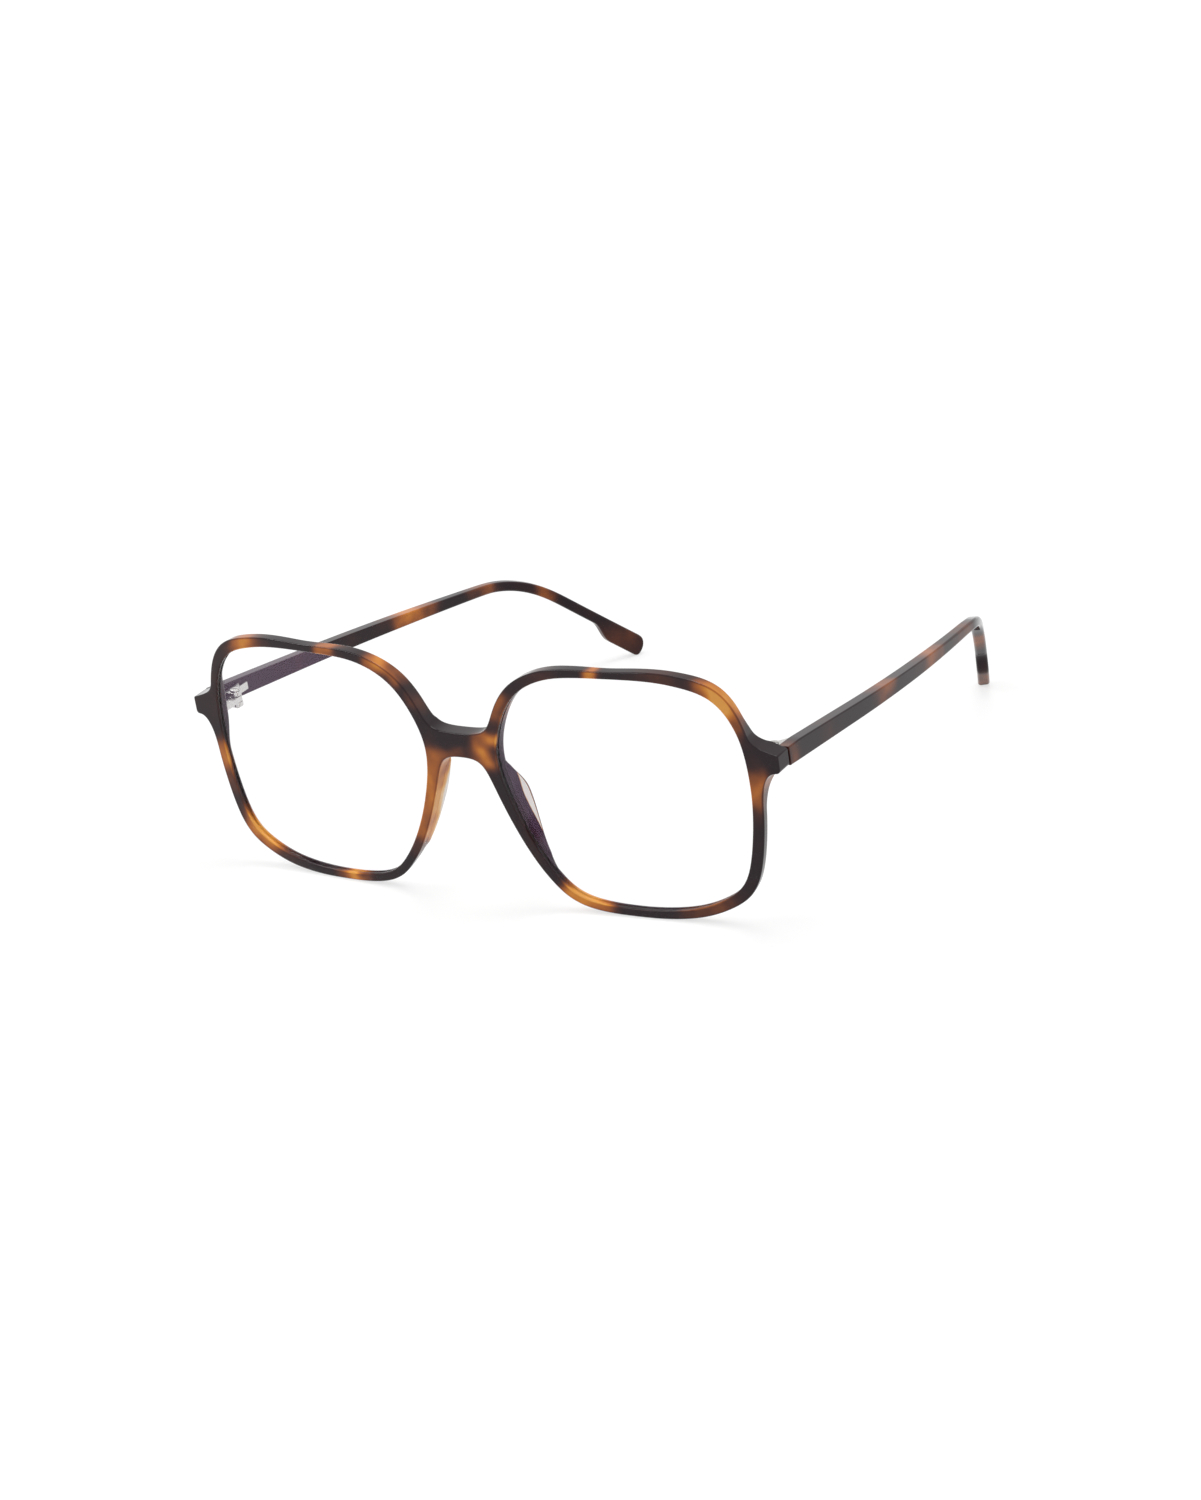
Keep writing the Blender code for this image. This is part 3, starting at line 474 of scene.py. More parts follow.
# Where the rim's edge gives way to bridge and end piece, and how far the curves run on its way
END_TOP_ANGLE, END_TOP_EASE = 30.0, 2.4 * MM
BRIDGE_TOP_ANGLE, BRIDGE_TOP_EASE, BRIDGE_TOP_FLAT = 148.0, 4.5 * MM, 6.5 * MM
BRIDGE_UNDER_ANGLE, BRIDGE_UNDER_EASE, BRIDGE_UNDER_FLAT = 205.0, 15.0 * MM, 7.0 * MM
END_LOW_ANGLE, END_LOW_EASE, END_LOW_FLAT = 357.0, 5.5 * MM, 2.4 * MM
END_TOP_RUN, END_TOP_RISE = 3.7 * MM, 1.3 * MM
# Points on those curves and on the end piece's two corners
UNDER_STEPS, LOW_STEPS, TOP_STEPS, OVER_STEPS = 70, 24, 26, 30
LOW_CORNER_STEPS, TOP_CORNER_STEPS = 9, 7


def front_outline():
    """Counter-clockwise outline of the whole front, from under the bridge over the left side."""
    ahead = directions(rim)
    top = np.flatnonzero((lens_angles > END_TOP_ANGLE) & (lens_angles < BRIDGE_TOP_ANGLE))
    low = np.flatnonzero((lens_angles > BRIDGE_UNDER_ANGLE) & (lens_angles < END_LOW_ANGLE))
    nasal, side = low[0], low[-1]
    upper, bridge = top[0], top[-1]
    under = np.array((0, BRIDGE_UNDER))
    over = np.array((0, BRIDGE_TOP))
    foot = np.array((END_X - END_LOW_CORNER, END_LOW))
    head = np.array((END_X - END_TOP_CORNER, END_TOP))
    left = np.concatenate([
        [under],
        bezier(under, under + (BRIDGE_UNDER_FLAT, 0), rim[nasal] - BRIDGE_UNDER_EASE * ahead[nasal],
               rim[nasal], UNDER_STEPS),
        rim[low],
        bezier(rim[side], rim[side] + END_LOW_EASE * ahead[side], foot - (END_LOW_FLAT, 0), foot,
               LOW_STEPS),
        arc(foot + (0, END_LOW_CORNER), END_LOW_CORNER, -90, 0, LOW_CORNER_STEPS),
        arc(head - (0, END_TOP_CORNER), END_TOP_CORNER, 0, 90, TOP_CORNER_STEPS),
        bezier(head, head + (-END_TOP_RUN, END_TOP_RISE), rim[upper] - END_TOP_EASE * ahead[upper],
               rim[upper], TOP_STEPS),
        rim[top],
        bezier(rim[bridge], rim[bridge] + BRIDGE_TOP_EASE * ahead[bridge], over + (BRIDGE_TOP_FLAT, 0),
               over, OVER_STEPS),
        [over],
    ])
    return np.concatenate([left, left[-2:0:-1] * (-1, 1)])


outline = front_outline()
print("front outline:", len(outline), "points, %.1f mm wide" % (np.ptp(outline[:, 0]) / MM))

# %% [markdown]
# ## The front
# After routing, the front is tumbled for days, which leaves a crisp front edge and a softer back edge.
# A bevel on a Boolean would be simple but gives uneven highlights. Here each edge is lofted instead:
# the outline is copied in rows, each moved inward and back along a quarter circle, and the rows are
# joined by quads. A triangle fill closes the front and the back. The flat plate is then given its
# deeper bridge and the swelling that leads to each end piece, and is bent to the face.

# %% Mesh helpers
WELD = 0.0005 * MM
SHARP = math.radians(40)


def edit(mesh, action):
    """Run an action on the mesh's bmesh and write it back."""
    work = bmesh.new()
    work.from_mesh(mesh)
    action(work)
    work.to_mesh(mesh)
    work.free()
    return mesh


def closed(mesh):
    """Weld the mesh and turn its faces outward."""
    def action(work):
        bmesh.ops.remove_doubles(work, verts=work.verts, dist=WELD)
        bmesh.ops.recalc_face_normals(work, faces=work.faces)
    return edit(mesh, action)


def mesh_from(name, points, faces):
    mesh = bpy.data.meshes.new(name)
    mesh.from_pydata([tuple(point) for point in points], [], faces)
    return mesh


def row_faces(rows, ring, start=0):
    """Quads between neighbouring closed rows of points."""
    return [(start + r * ring + k, start + r * ring + (k + 1) % ring,
             start + (r + 1) * ring + (k + 1) % ring, start + (r + 1) * ring + k)
            for r in range(rows - 1) for k in range(ring)]


def mirrored(mesh):
    other = mesh.copy()
    other.transform(Matrix.Scale(-1, 4, (1, 0, 0)))
    other.flip_normals()
    return other


def evaluated(item):
    """The object's mesh with its modifiers, as a plain mesh; the object is removed."""
    graph = bpy.context.evaluated_depsgraph_get()
    mesh = bpy.data.meshes.new_from_object(item.evaluated_get(graph))
    bpy.data.objects.remove(item, do_unlink=True)
    return mesh


def temporary(mesh):
    item = bpy.data.objects.new("temporary", mesh)
    bpy.context.scene.collection.objects.link(item)
    return item


def with_flat_normals(mesh):
    """Smooth shading in which large flat faces stay flat and sharp edges stay sharp."""
    mesh.shade_smooth()
    mesh.set_sharp_from_angle(angle=SHARP)
    item = temporary(mesh)
    modifier = item.modifiers.new("flat_faces", "WEIGHTED_NORMAL")
    modifier.keep_sharp = True
    return evaluated(item)


def add_piece(name, mesh, finish, body, nodes):
    """Place a finished mesh in the scene, on its body and in place of its CAD nodes."""
    mesh.name = name
    mesh.materials.clear()
    mesh.materials.append(finish)
    piece = bpy.data.objects.new(name, mesh)
    bpy.context.scene.collection.objects.link(piece)
    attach(piece, body)
    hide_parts(*nodes)
    print(name, "has", len(mesh.polygons), "faces")
    return piece


print("mesh helpers ready")

# %% Rows across an edge
FRONT_EDGE = 0.35 * MM
BACK_EDGE = 0.45 * MM
OPENING_BACK_EDGE = 0.5 * MM
RIM_DRAFT = 0.33 * MM           # how far the rim's side walls lean in toward the back
END_EDGE = 0.22 * MM            # sharper edges on the end piece
END_EDGE_FROM = 66.0 * MM
BRIDGE_CREASE = 7.3 * MM        # where the rim's leaning wall meets the bridge's upright one
BRIDGE_CREASE_RUN = 0.5 * MM
NOSE_HALF = 18.0 * MM           # half of the nose opening's width, where it runs out under the lenses
NOSE_RUN = 4.0 * MM
EDGE_RUN = 1.0 * MM             # how soon one kind of edge gives way to the next
GROOVE_DEPTH = 0.70 * MM
GROOVE_HALF = 0.52 * MM
GROOVE_BOTTOM = 0.15 * MM
GROOVE_LIP = 0.10 * MM          # how far its two sides stay square to the wall
FILLET_STEPS = 7
# Painted edge light and shade on an edge and the wall behind it: the opening's edge and the nose side are
# painted paler, as a glow of light coming through, while the rest of the outline is painted darker as shade
OPENING_PAINTED_LIGHT = (0.6, 0.2)
OUTER_PAINTED_SHADE = (-0.5, -0.2)
NOSE_PAINTED_LIGHT = 0.8


def edge_rows(loop, side, front_edge, back_edge, draft=0.0, painted_edge=OPENING_PAINTED_LIGHT, groove=()):
    """Rows from the front face over the wall to the back: points, share of extra depth, painted edge light
    and shade.
    """
    quarter = np.linspace(0, math.pi / 2, FILLET_STEPS)
    at_edge, on_wall = painted_edge
    steps = [(front_edge * (1 - math.sin(a)), front_edge * (1 - math.cos(a)), 0.0,
              at_edge * math.sin(2 * a) + on_wall * math.sin(a) ** 2) for a in quarter]
    steps += [(inset, depth, 0.0, on_wall) for inset, depth in groove]
    steps += [(draft + back_edge * (1 - math.cos(a)), FRONT_DEPTH - back_edge * (1 - math.sin(a)), 1.0,
               on_wall * math.cos(a)) for a in quarter]
    rows = []
    for inset, depth, deep, painted_edge_value in steps:
        flat = grown(loop, side * inset)
        points = np.column_stack([flat[:, 0], np.broadcast_to(depth, len(loop)), flat[:, 1]])
        rows.append((points, deep, np.broadcast_to(painted_edge_value, len(loop))))
    return rows


def smooth_step(values):
    share = np.clip(values, 0, 1)
    return share * share * (3 - 2 * share)


def beside_nose(loop):
    """1 along the nose opening, fading to 0 under the lenses."""
    x, z = np.abs(loop[:, 0]), loop[:, 1]
    return smooth_step((NOSE_HALF - x) / NOSE_RUN) * smooth_step((BRIDGE_TOP - z) / EDGE_RUN)


def edge_sizes(loop):
    """Front and back rounding and draft along the outline: end pieces and nose opening stay upright."""
    x = np.abs(loop[:, 0])
    end = smooth_step((x - END_EDGE_FROM) / EDGE_RUN)
    over_bridge = smooth_step((BRIDGE_CREASE - x) / BRIDGE_CREASE_RUN)
    upright = np.maximum(np.maximum(end, over_bridge), beside_nose(loop))
    front, back = (edge + (END_EDGE - edge) * end for edge in (FRONT_EDGE, BACK_EDGE))
    sideways = directions(loop)[:, 1] ** 2
    return front, back, RIM_DRAFT * sideways * (1 - upright)


groove_half = [(0.0, GROOVE_HALF), (GROOVE_LIP, GROOVE_HALF), (GROOVE_DEPTH, GROOVE_BOTTOM)]
GROOVE = [(inset, FRONT_DEPTH / 2 - half) for inset, half in groove_half]
GROOVE += [(inset, FRONT_DEPTH / 2 + half) for inset, half in reversed(groove_half)]
other_opening = (opening * (-1, 1))[::-1]
# Painted shade along the outline's edge and wall, turning to painted light along the nose opening
outer_painted_light_and_shade = (OUTER_PAINTED_SHADE[0], OUTER_PAINTED_SHADE[1] + (NOSE_PAINTED_LIGHT - OUTER_PAINTED_SHADE[1]) * beside_nose(outline))
walls = [edge_rows(outline, -1, *edge_sizes(outline), painted_edge=outer_painted_light_and_shade),
         edge_rows(opening, 1, FRONT_EDGE, OPENING_BACK_EDGE, groove=GROOVE),
         edge_rows(other_opening, 1, FRONT_EDGE, OPENING_BACK_EDGE, groove=GROOVE)]
print("rows across the outer edge:", len(walls[0]), "and across an opening's edge:", len(walls[1]))

# %% Fill, bend and stand the front
BRIDGE_DEPTH = 4.0 * MM
BRIDGE_SPAN = 36.0 * MM         # from the bridge to where its extra depth has run out
END_SPAN = 9.0 * MM             # from the land that the arm meets to where its extra depth has run out
FACE_TOLERANCE = 0.01 * MM
CUT_TOLERANCE = 0.0001 * MM
LAND_TOLERANCE = 0.001 * MM


def face_sag(x):
    return x ** 2 / (2 * FACE_RADIUS)


def bridge_extra(x, z):
    """Extra depth of the front round the bridge."""
    return (BRIDGE_DEPTH - FRONT_DEPTH) * (1 - smooth_step(math.hypot(x, z - BRIDGE_TOP) / BRIDGE_SPAN))


def end_extra(x, z):
    """Extra depth beside the land that the arm's butt meets."""
    land = SEAM_Y - FRONT_DEPTH - face_sag(LAND_X)
    inward = max(LAND_X - abs(x), 0)
    beside = max(END_LOW - z, z - END_TOP, 0)
    return land * (1 - smooth_step(math.hypot(inward, beside) / END_SPAN))


def fill_faces(mesh):
    """Close the front and the back between the outer edge and the two openings."""
    def fill(work):
        for depth in (0.0, FRONT_DEPTH):
            rim_edges = [edge for edge in work.edges if edge.is_boundary
                         and all(abs(vertex.co.y - depth) < FACE_TOLERANCE for vertex in edge.verts)]
            bmesh.ops.triangle_fill(work, use_beauty=True, edges=rim_edges)
        bmesh.ops.recalc_face_normals(work, faces=work.faces)
    return edit(mesh, fill)


def slice_at(mesh, positions):
    """Cut new edges across the mesh at positions along x."""
    def cut(work):
        for position in positions:
            everything = work.verts[:] + work.edges[:] + work.faces[:]
            bmesh.ops.bisect_plane(work, geom=everything, dist=CUT_TOLERANCE, plane_co=(position, 0, 0),
                                   plane_no=(1, 0, 0))
    return edit(mesh, cut)


def front_mesh():
    points, faces, marks = [], [], {"deep": [], "painted_edge_light_and_shade": []}
    for wall in walls:
        ring = len(wall[0][0])
        faces += row_faces(len(wall), ring, len(points))
        for row, deep, painted_edge in wall:
            points += [tuple(point) for point in row]
            marks["deep"] += [deep] * ring
            marks["painted_edge_light_and_shade"] += painted_edge.tolist()
    mesh = mesh_from("front", points, faces)
    for label, values in marks.items():
        mesh.attributes.new(label, "FLOAT", "POINT").data.foreach_set("value", values)
    slice_at(fill_faces(mesh), [-ARM_INNER_X, -LAND_X, LAND_X, ARM_INNER_X])
    for vertex, deep in zip(mesh.vertices, mesh.attributes["deep"].data):
        x, y, z = vertex.co
        on_land = abs(x) > ARM_INNER_X - LAND_TOLERANCE
        extra = SEAM_Y - FRONT_DEPTH - face_sag(x) if on_land else bridge_extra(x, z) + end_extra(x, z)
        vertex.co = (x, y + extra * deep.value + face_sag(x), z)
    mesh.attributes.remove(mesh.attributes["deep"])
    mesh.transform(STAND)
    return with_flat_normals(mesh)


add_piece("tortoise_front", front_mesh(), front_acetate, "front", ["front_frame"])

# %% [markdown]
# ## The lenses
# A demonstration lens is a thin clear plate with a slight dome, whose edge is ground to a ridge that
# snaps into the rim's groove. It is made as rings that shrink from the edge to the middle, once for the
# front surface and once for the back, so the dome is exact and its reflection has no facets.

# %% Lens meshes
LENS_THICKNESS = 1.0 * MM
LENS_CHAMFER = 0.4 * MM
LENS_LIP = 0.45 * MM            # how far the edge reaches into the rim
LENS_DOME = 0.35 * MM
LENS_RINGS = 14
LENS_SHARP = math.radians(30)


def lens_mesh():
    edge = grown(opening, LENS_LIP)[::2]
    surface_edge = grown(opening, LENS_LIP - LENS_CHAMFER)[::2]
    centre = np.array((LENS_X, 0))
    shares = np.sin(np.linspace(math.pi / 2, 0, LENS_RINGS, endpoint=False))
    rows = []
    for half in (-1, 1):
        rings = []
        for share in shares:
            flat = centre + (surface_edge - centre) * share
            depth = FRONT_DEPTH / 2 + half * LENS_THICKNESS / 2 - LENS_DOME * (1 - share ** 2)
            rings.append(np.column_stack([flat[:, 0], np.full(len(flat), depth), flat[:, 1]]))
        rows += rings[::-1] if half < 0 else rings
        if half < 0:
            for y in (LENS_CHAMFER - LENS_THICKNESS / 2, LENS_THICKNESS / 2 - LENS_CHAMFER):
                depth = np.full(len(edge), FRONT_DEPTH / 2 + y)
                rows.append(np.column_stack([edge[:, 0], depth, edge[:, 1]]))
    ring = len(edge)
    faces = row_faces(len(rows), ring)
    faces += [tuple(range(ring)), tuple(range(len(rows) * ring - ring, len(rows) * ring))]
    points = np.concatenate(rows)
    points[:, 1] += face_sag(points[:, 0])
    mesh = closed(mesh_from("lens", points, faces))
    mesh.shade_smooth()
    mesh.set_sharp_from_angle(angle=LENS_SHARP)
    return mesh


def on_both_sides(mesh):
    """A piece drawn on the wearer's left, and its mirror image, both leaned into place."""
    sides = {"left": mesh, "right": mirrored(mesh)}
    for side in sides.values():
        side.transform(STAND)
    return sides


for side, mesh in on_both_sides(lens_mesh()).items():
    lens = add_piece(f"clear_lens_{side}", mesh, coated_lens, "front", [f"{side}_lens"])
    lens.visible_shadow = False

# %% [markdown]
# ## The nose pads
# On an acetate frame the pads are small blocks of the same sheet, glued behind the nasal rims and filed
# flush with the rim's two walls. So each section of a pad starts from the rim it sits on: it laps a little
# over the rim's back edge, stands highest on the lens side and slopes to the nose. The sections are
# lofted along the rim, and they rise soon and run out slowly in one smooth wave. Each point also carries
# painted light: a white painted highlight up the lens side where the pad is high, and a nose side painted
# paler toward its back edge.

# %% Pad sections
PAD_LENS_RISE = 3.85 * MM
PAD_NOSE_RISE = 1.6 * MM
PAD_LAP = 0.8 * MM              # how far its sides reach down over the rim's back edge
PAD_PROUD = 0.03 * MM
PAD_TUCK = 0.6 * MM             # how far its two ends draw in from the rim's rounded edges
PAD_SPLAY = math.tan(math.radians(4.0))
PAD_HIGHLIGHT = 0.58                # share of the lens side painted white as a highlight where the pad is highest
PAD_HIGHLIGHT_FROM = 0.42           # share of the full height at which that painted highlight starts
PAD_PALE = (0.40, 1.05)         # painted light: how pale the nose side is painted, from the rim to its back edge
PAD_WINDOW_SOFT = 0.06          # share of the lens side over which the painted highlight sets in
PAD_WINDOW_END = 0.96           # where it gives way to the pad's edge
PAD_WINDOW_END_SOFT = 0.05
PAD_WINDOW_WHITE = 1.6
PAD_CROWN = 1.08                # how far the crown swells past the lens side, as a share of its height
PAD_SHOULDER = 0.8              # shares of width and height at which it turns down to the nose
PAD_TUCK_LOSS = 5               # how soon the ends lose their tuck as the pad rises
PAD_LAP_GAIN = 4                # and how soon they reach their full lap
PAD_WALL_STEPS = 20
PAD_CROWN_STEPS = 16


def pad_section(width, lens_swell, nose_swell):
    """One section as (distance from the opening, height over the rim's back, painted highlight) rows."""
    tuck = PAD_TUCK * (1 - min(1, PAD_TUCK_LOSS * lens_swell)) - PAD_PROUD
    lens, nose = tuck, width - tuck
    high, low = PAD_LENS_RISE * lens_swell, PAD_NOSE_RISE * nose_swell
    shares = np.linspace(0, 1, PAD_WALL_STEPS)
    # Painted highlight: a white band up the lens side, which stops short of the pad's edge
    highlight_from = 1 - PAD_HIGHLIGHT * max(0, (lens_swell - PAD_HIGHLIGHT_FROM) / (1 - PAD_HIGHLIGHT_FROM))
    window = smooth_step((shares - highlight_from) / PAD_WINDOW_SOFT)
    window = window * smooth_step((PAD_WINDOW_END - shares) / PAD_WINDOW_END_SOFT)
    lens_wall = [(lens - PAD_SPLAY * high * share, high * share, PAD_WINDOW_WHITE * clear)
                 for share, clear in zip(shares, window)]
    top = lens_wall[-1][:2]
    shoulder = (PAD_SHOULDER * width, max(PAD_SHOULDER * high, low))
    crown = bezier(top, (top[0], PAD_CROWN * high), shoulder, (nose, low), PAD_CROWN_STEPS)
    at_rim, at_back = PAD_PALE
    # Painted light: the nose side grows paler toward its back edge, and the crown fades back to the sheet
    pale = nose_swell * np.array([at_rim + (at_back - at_rim) * share for share in shares])
    fading = pale[-1] * np.linspace(0, 1, PAD_CROWN_STEPS) ** 2
    crown = [(*point, clear) for point, clear in zip(crown, fading)]
    nose_wall = [(nose, low * share, clear) for share, clear in zip(shares[::-1], pale[::-1])]
    lap = PAD_LAP * min(1, PAD_LAP_GAIN * lens_swell)
    return [(nose, -lap, pale[0]), (lens, -lap, 0.0), *lens_wall, *crown, *nose_wall]


print("pad section:", len(pad_section(2.5 * MM, 1.0, 1.0)), "points")

# %% Pad meshes
PAD_TOP = 5.5 * MM
PAD_PEAK = -3.5 * MM            # where it stands highest; its tail below is longer than its head
PAD_BOTTOM = -20.5 * MM
PAD_WIDEST = 3.5 * MM
PAD_WAVE = 2.0                  # power by which the lens side rises later than the nose side
PAD_SHARP = math.radians(50)
NASAL_X = 0.7 * LENS_X          # how far out the nose opening's edge is looked for

outline_x, outline_z = outline.T
nasal_edge = outline[(outline_x > 0) & (outline_x < NASAL_X) & (outline_z < BRIDGE_UNDER)]


def rim_across(start, toward_nose):
    """Distance from a point on the opening to the nose opening's edge."""
    offset = nasal_edge - start
    along = offset @ np.array((-toward_nose[1], toward_nose[0]))
    order = np.argsort(along)
    return min(np.interp(0, along[order], (offset @ toward_nose)[order]), PAD_WIDEST)


def pad_mesh():
    opening_x, opening_z = opening.T
    nasal = np.flatnonzero((opening_x < LENS_X) & (opening_z < PAD_TOP) & (opening_z > PAD_BOTTOM))
    toward_nose = unit(rim - opening)
    points, pad_highlight = [], []
    for k in nasal:
        end = PAD_TOP if opening_z[k] > PAD_PEAK else PAD_BOTTOM
        swell = math.cos(math.pi / 2 * (opening_z[k] - PAD_PEAK) / (end - PAD_PEAK))
        width = rim_across(opening[k], toward_nose[k])
        # Each section point carries its share of painted light and painted highlight
        for across, height, clear in pad_section(width, swell ** PAD_WAVE, swell):
            x, z = opening[k] + toward_nose[k] * across
            points.append((x, FRONT_DEPTH + bridge_extra(x, z) + face_sag(x) + height, z))
            pad_highlight.append(clear)
    ring = len(points) // len(nasal)
    faces = row_faces(len(nasal), ring)
    faces += [tuple(range(ring)), tuple(range(len(points) - ring, len(points)))]
    mesh = mesh_from("pad", points, faces)
    mesh.attributes.new("painted_pad_highlight", "FLOAT", "POINT").data.foreach_set("value", pad_highlight)
    closed(mesh)
    mesh.shade_smooth()
    mesh.set_sharp_from_angle(angle=PAD_SHARP)
    return mesh


for side, mesh in on_both_sides(pad_mesh()).items():
    add_piece(f"nose_pad_{side}", mesh, front_acetate, "front", [f"{side}_nose_pad"])

# %% [markdown]
# ## The arms
# An arm is one rounded-rectangle section swept along a path: straight, then in a soft bend over the
# ear, then down to a taller flat tip. A plain Curve to Mesh keeps one section, but this one changes its
# height on the way, and its corners get rounder toward the tip. So a Geometry Nodes tree sweeps a plain
# ring, and then puts each ring point where the path's own attributes say: the middle, the side and down
# directions, the half sizes and the rounding at that station.

# %% The sweep as a node tree
def make_sweep_tree():
    tree, given, result = group("arm_sweep", "GeometryNodeTree",
                                {"Path": "Geometry", "Ring points": "Int", "Finish": "Material"},
                                {"Arm": "Geometry"})

    def named(label, kind="FLOAT"):
        made = node(tree, "GeometryNodeInputNamedAttribute", {"Name": label}, data_type=kind)
        return made.outputs["Attribute"]

    def corner(wave, half):
        """A ring point's distance from the middle: the corner's centre and its rounding."""
        inner = shader_math(tree, "SUBTRACT", half, named("rounding"))
        middle = shader_math(tree, "MULTIPLY", shader_math(tree, "SIGN", wave), inner)
        return shader_math(tree, "MULTIPLY_ADD", wave, named("rounding"), middle)

    def along(label, distance):
        made = node(tree, "ShaderNodeVectorMath", {0: named(label, "FLOAT_VECTOR"), "Scale": distance},
                    operation="SCALE")
        return made.outputs["Vector"]

    circle = node(tree, "GeometryNodeCurvePrimitiveCircle",
                  {"Resolution": given["Ring points"], "Radius": MM})
    half_step = shader_math(tree, "ADD", node(tree, "GeometryNodeInputIndex").outputs[0], 0.5)
    share = shader_math(tree, "DIVIDE", half_step, given["Ring points"])
    turn = shader_math(tree, "MULTIPLY", share, math.tau)
    ring = node(tree, "GeometryNodeStoreNamedAttribute",
                {"Geometry": circle.outputs["Curve"], "Name": "turn", "Value": turn},
                domain="POINT", data_type="FLOAT")
    curve = node(tree, "GeometryNodeMeshToCurve", {"Mesh": given["Path"]})
    swept = node(tree, "GeometryNodeCurveToMesh", {"Curve": curve.outputs["Curve"], "Fill Caps": True,
                                                   "Profile Curve": ring.outputs["Geometry"]})
    across = corner(shader_math(tree, "COSINE", named("turn")), named("half_thickness"))
    below = corner(shader_math(tree, "SINE", named("turn")), named("half_height"))
    place = vector_math(tree, "ADD", named("middle", "FLOAT_VECTOR"), along("side", across))
    place = vector_math(tree, "ADD", place, along("down", below))
    moved = node(tree, "GeometryNodeSetPosition", {"Geometry": swept.outputs["Mesh"], "Position": place})
    real = node(tree, "GeometryNodeRealizeInstances", {"Geometry": moved.outputs["Geometry"]})
    dressed = node(tree, "GeometryNodeSetMaterial",
                   {"Geometry": real.outputs["Geometry"], "Material": given["Finish"]})
    tree.links.new(dressed.outputs["Geometry"], result.inputs["Arm"])
    return tree


def run_tree(tree, mesh, values):
    """The mesh that a node tree makes from a starting mesh, with the tree's inputs set by name."""
    item = temporary(mesh)
    modifier = item.modifiers.new(tree.name, "NODES")
    modifier.node_group = tree
    for socket in tree.interface.items_tree:
        if socket.in_out == "INPUT" and socket.name in values:
            modifier[socket.identifier] = values[socket.name]
    return evaluated(item)


arm_sweep = make_sweep_tree()
print("tree:", arm_sweep.name, "with", len(arm_sweep.nodes), "nodes")

# %% The arm's path
ARM_HEIGHT = 4.0 * MM           # at the hinge
ARM_LIFT = 0.25 * MM            # how far the top edge stands over the front's top
LIFT_RUN = 6.0 * MM
BEND_HEIGHT = 2.3 * MM          # over the ear
TIP_HEIGHT = 4.5 * MM
ARM_LENGTH = 145.0 * MM
BEND_START = 97.0 * MM
BEND_RADIUS = 31.0 * MM
BEND_TURN = math.radians(36.0)
BEND_EASE = 5.0 * MM            # how far before and after its arc the bend begins and ends
TIP_LENGTH = 15.0 * MM
TIP_STEP = 6.5 * MM
ARM_SLOPE = math.radians(8.5)
ARM_TOE = math.radians(2.05)
STRAIGHT_RUN = 30.0 * MM
BOW_RADIUS = 560.0 * MM
TIP_CURL = 0.35
TIP_CURL_RUN = 12.0 * MM
BEND_RUN = BEND_RADIUS * BEND_TURN + 2 * BEND_EASE
PATH_POINTS = 2901


def running_total(values, step):
    """The area under a row of values, from the first one to each of them."""
    return np.concatenate([[0], np.cumsum((values[1:] + values[:-1]) / 2) * step])


TRAVEL = np.linspace(0, ARM_LENGTH, PATH_POINTS)
SLOPES = ARM_SLOPE + BEND_TURN * smooth_step((TRAVEL - BEND_START + BEND_EASE) / BEND_RUN)
TOP_Y = BUTT_Y + running_total(np.cos(SLOPES), TRAVEL[1])
TOP_Z = END_TOP - running_total(np.sin(SLOPES), TRAVEL[1])


def arm_top(s):
    """Point on the arm's top edge in y and z, and its slope, at a distance along it."""
    return [np.interp(s, TRAVEL, values) for values in (TOP_Y, TOP_Z, SLOPES)]


def arm_height(s):
    slim = ARM_HEIGHT + (BEND_HEIGHT - ARM_HEIGHT) * min(s / BEND_START, 1)
    return slim + (TIP_HEIGHT - BEND_HEIGHT) * smooth_step((s - (ARM_LENGTH - TIP_LENGTH)) / TIP_STEP)


def bow_in(y):
    """How far the arm leans toward the head: a straight toe-in, a long bow and the tip's extra turn."""
    bow_run = max(y - arm_top(STRAIGHT_RUN)[0], 0)
    curl_run = max(y - arm_top(BEND_START)[0], 0)
    return (math.tan(ARM_TOE) * (y - AXIS.y) + bow_run ** 2 / (2 * BOW_RADIUS)
            + TIP_CURL * curl_run ** 2 / (curl_run + TIP_CURL_RUN))


def arm_edge(s, share):
    """Point on the middle plane of the arm, at a share of its height below the top edge."""
    y, z, slope = arm_top(s)
    square = slope * smooth_step(s / (2 * ARM_HEIGHT))
    lift = ARM_LIFT * smooth_step(s / LIFT_RUN) * (1 - smooth_step(s / BEND_START)) * (1 - share)
    y -= share * arm_height(s) * math.sin(square)
    z -= share * arm_height(s) * math.cos(square) - lift
    return np.array((END_X - ARM_THICKNESS / 2 - bow_in(y), y, z))


print("arm from y %.1f to %.1f mm" % (BUTT_Y / MM, arm_top(ARM_LENGTH)[0] / MM))

# %% The arms from their paths
ARM_EDGE = 0.35 * MM            # rounding of its four edges, up to the bend
TIP_EDGE = 0.70 * MM            # and from the bend on
TIP_EDGE_FROM, TIP_EDGE_RUN = 60.0 * MM, 40.0 * MM
BUTT_EDGE = 0.15 * MM
TIP_TOP_RUN, TIP_TOP_POWER = 4.5 * MM, 5        # the slanted top of the tip's end
TIP_LOW_RUN, TIP_LOW_DROP = 1.1 * MM, 0.8 * MM  # and its rounded lower corner
TIP_FLAT = 0.5 * MM             # height left at the very end
ROUNDING_LIMIT = 0.9            # share of a half size that a rounding may take
BODY_STATIONS = 260
END_STEPS = 14
RING_POINTS = 48


def rounded_off(distance, run):
    """Share of its drop that a rounded end has lost at a distance from the end."""
    inside = min(max(1 - distance / run, 0), 1)
    return 1 - math.sqrt(1 - inside ** 2)


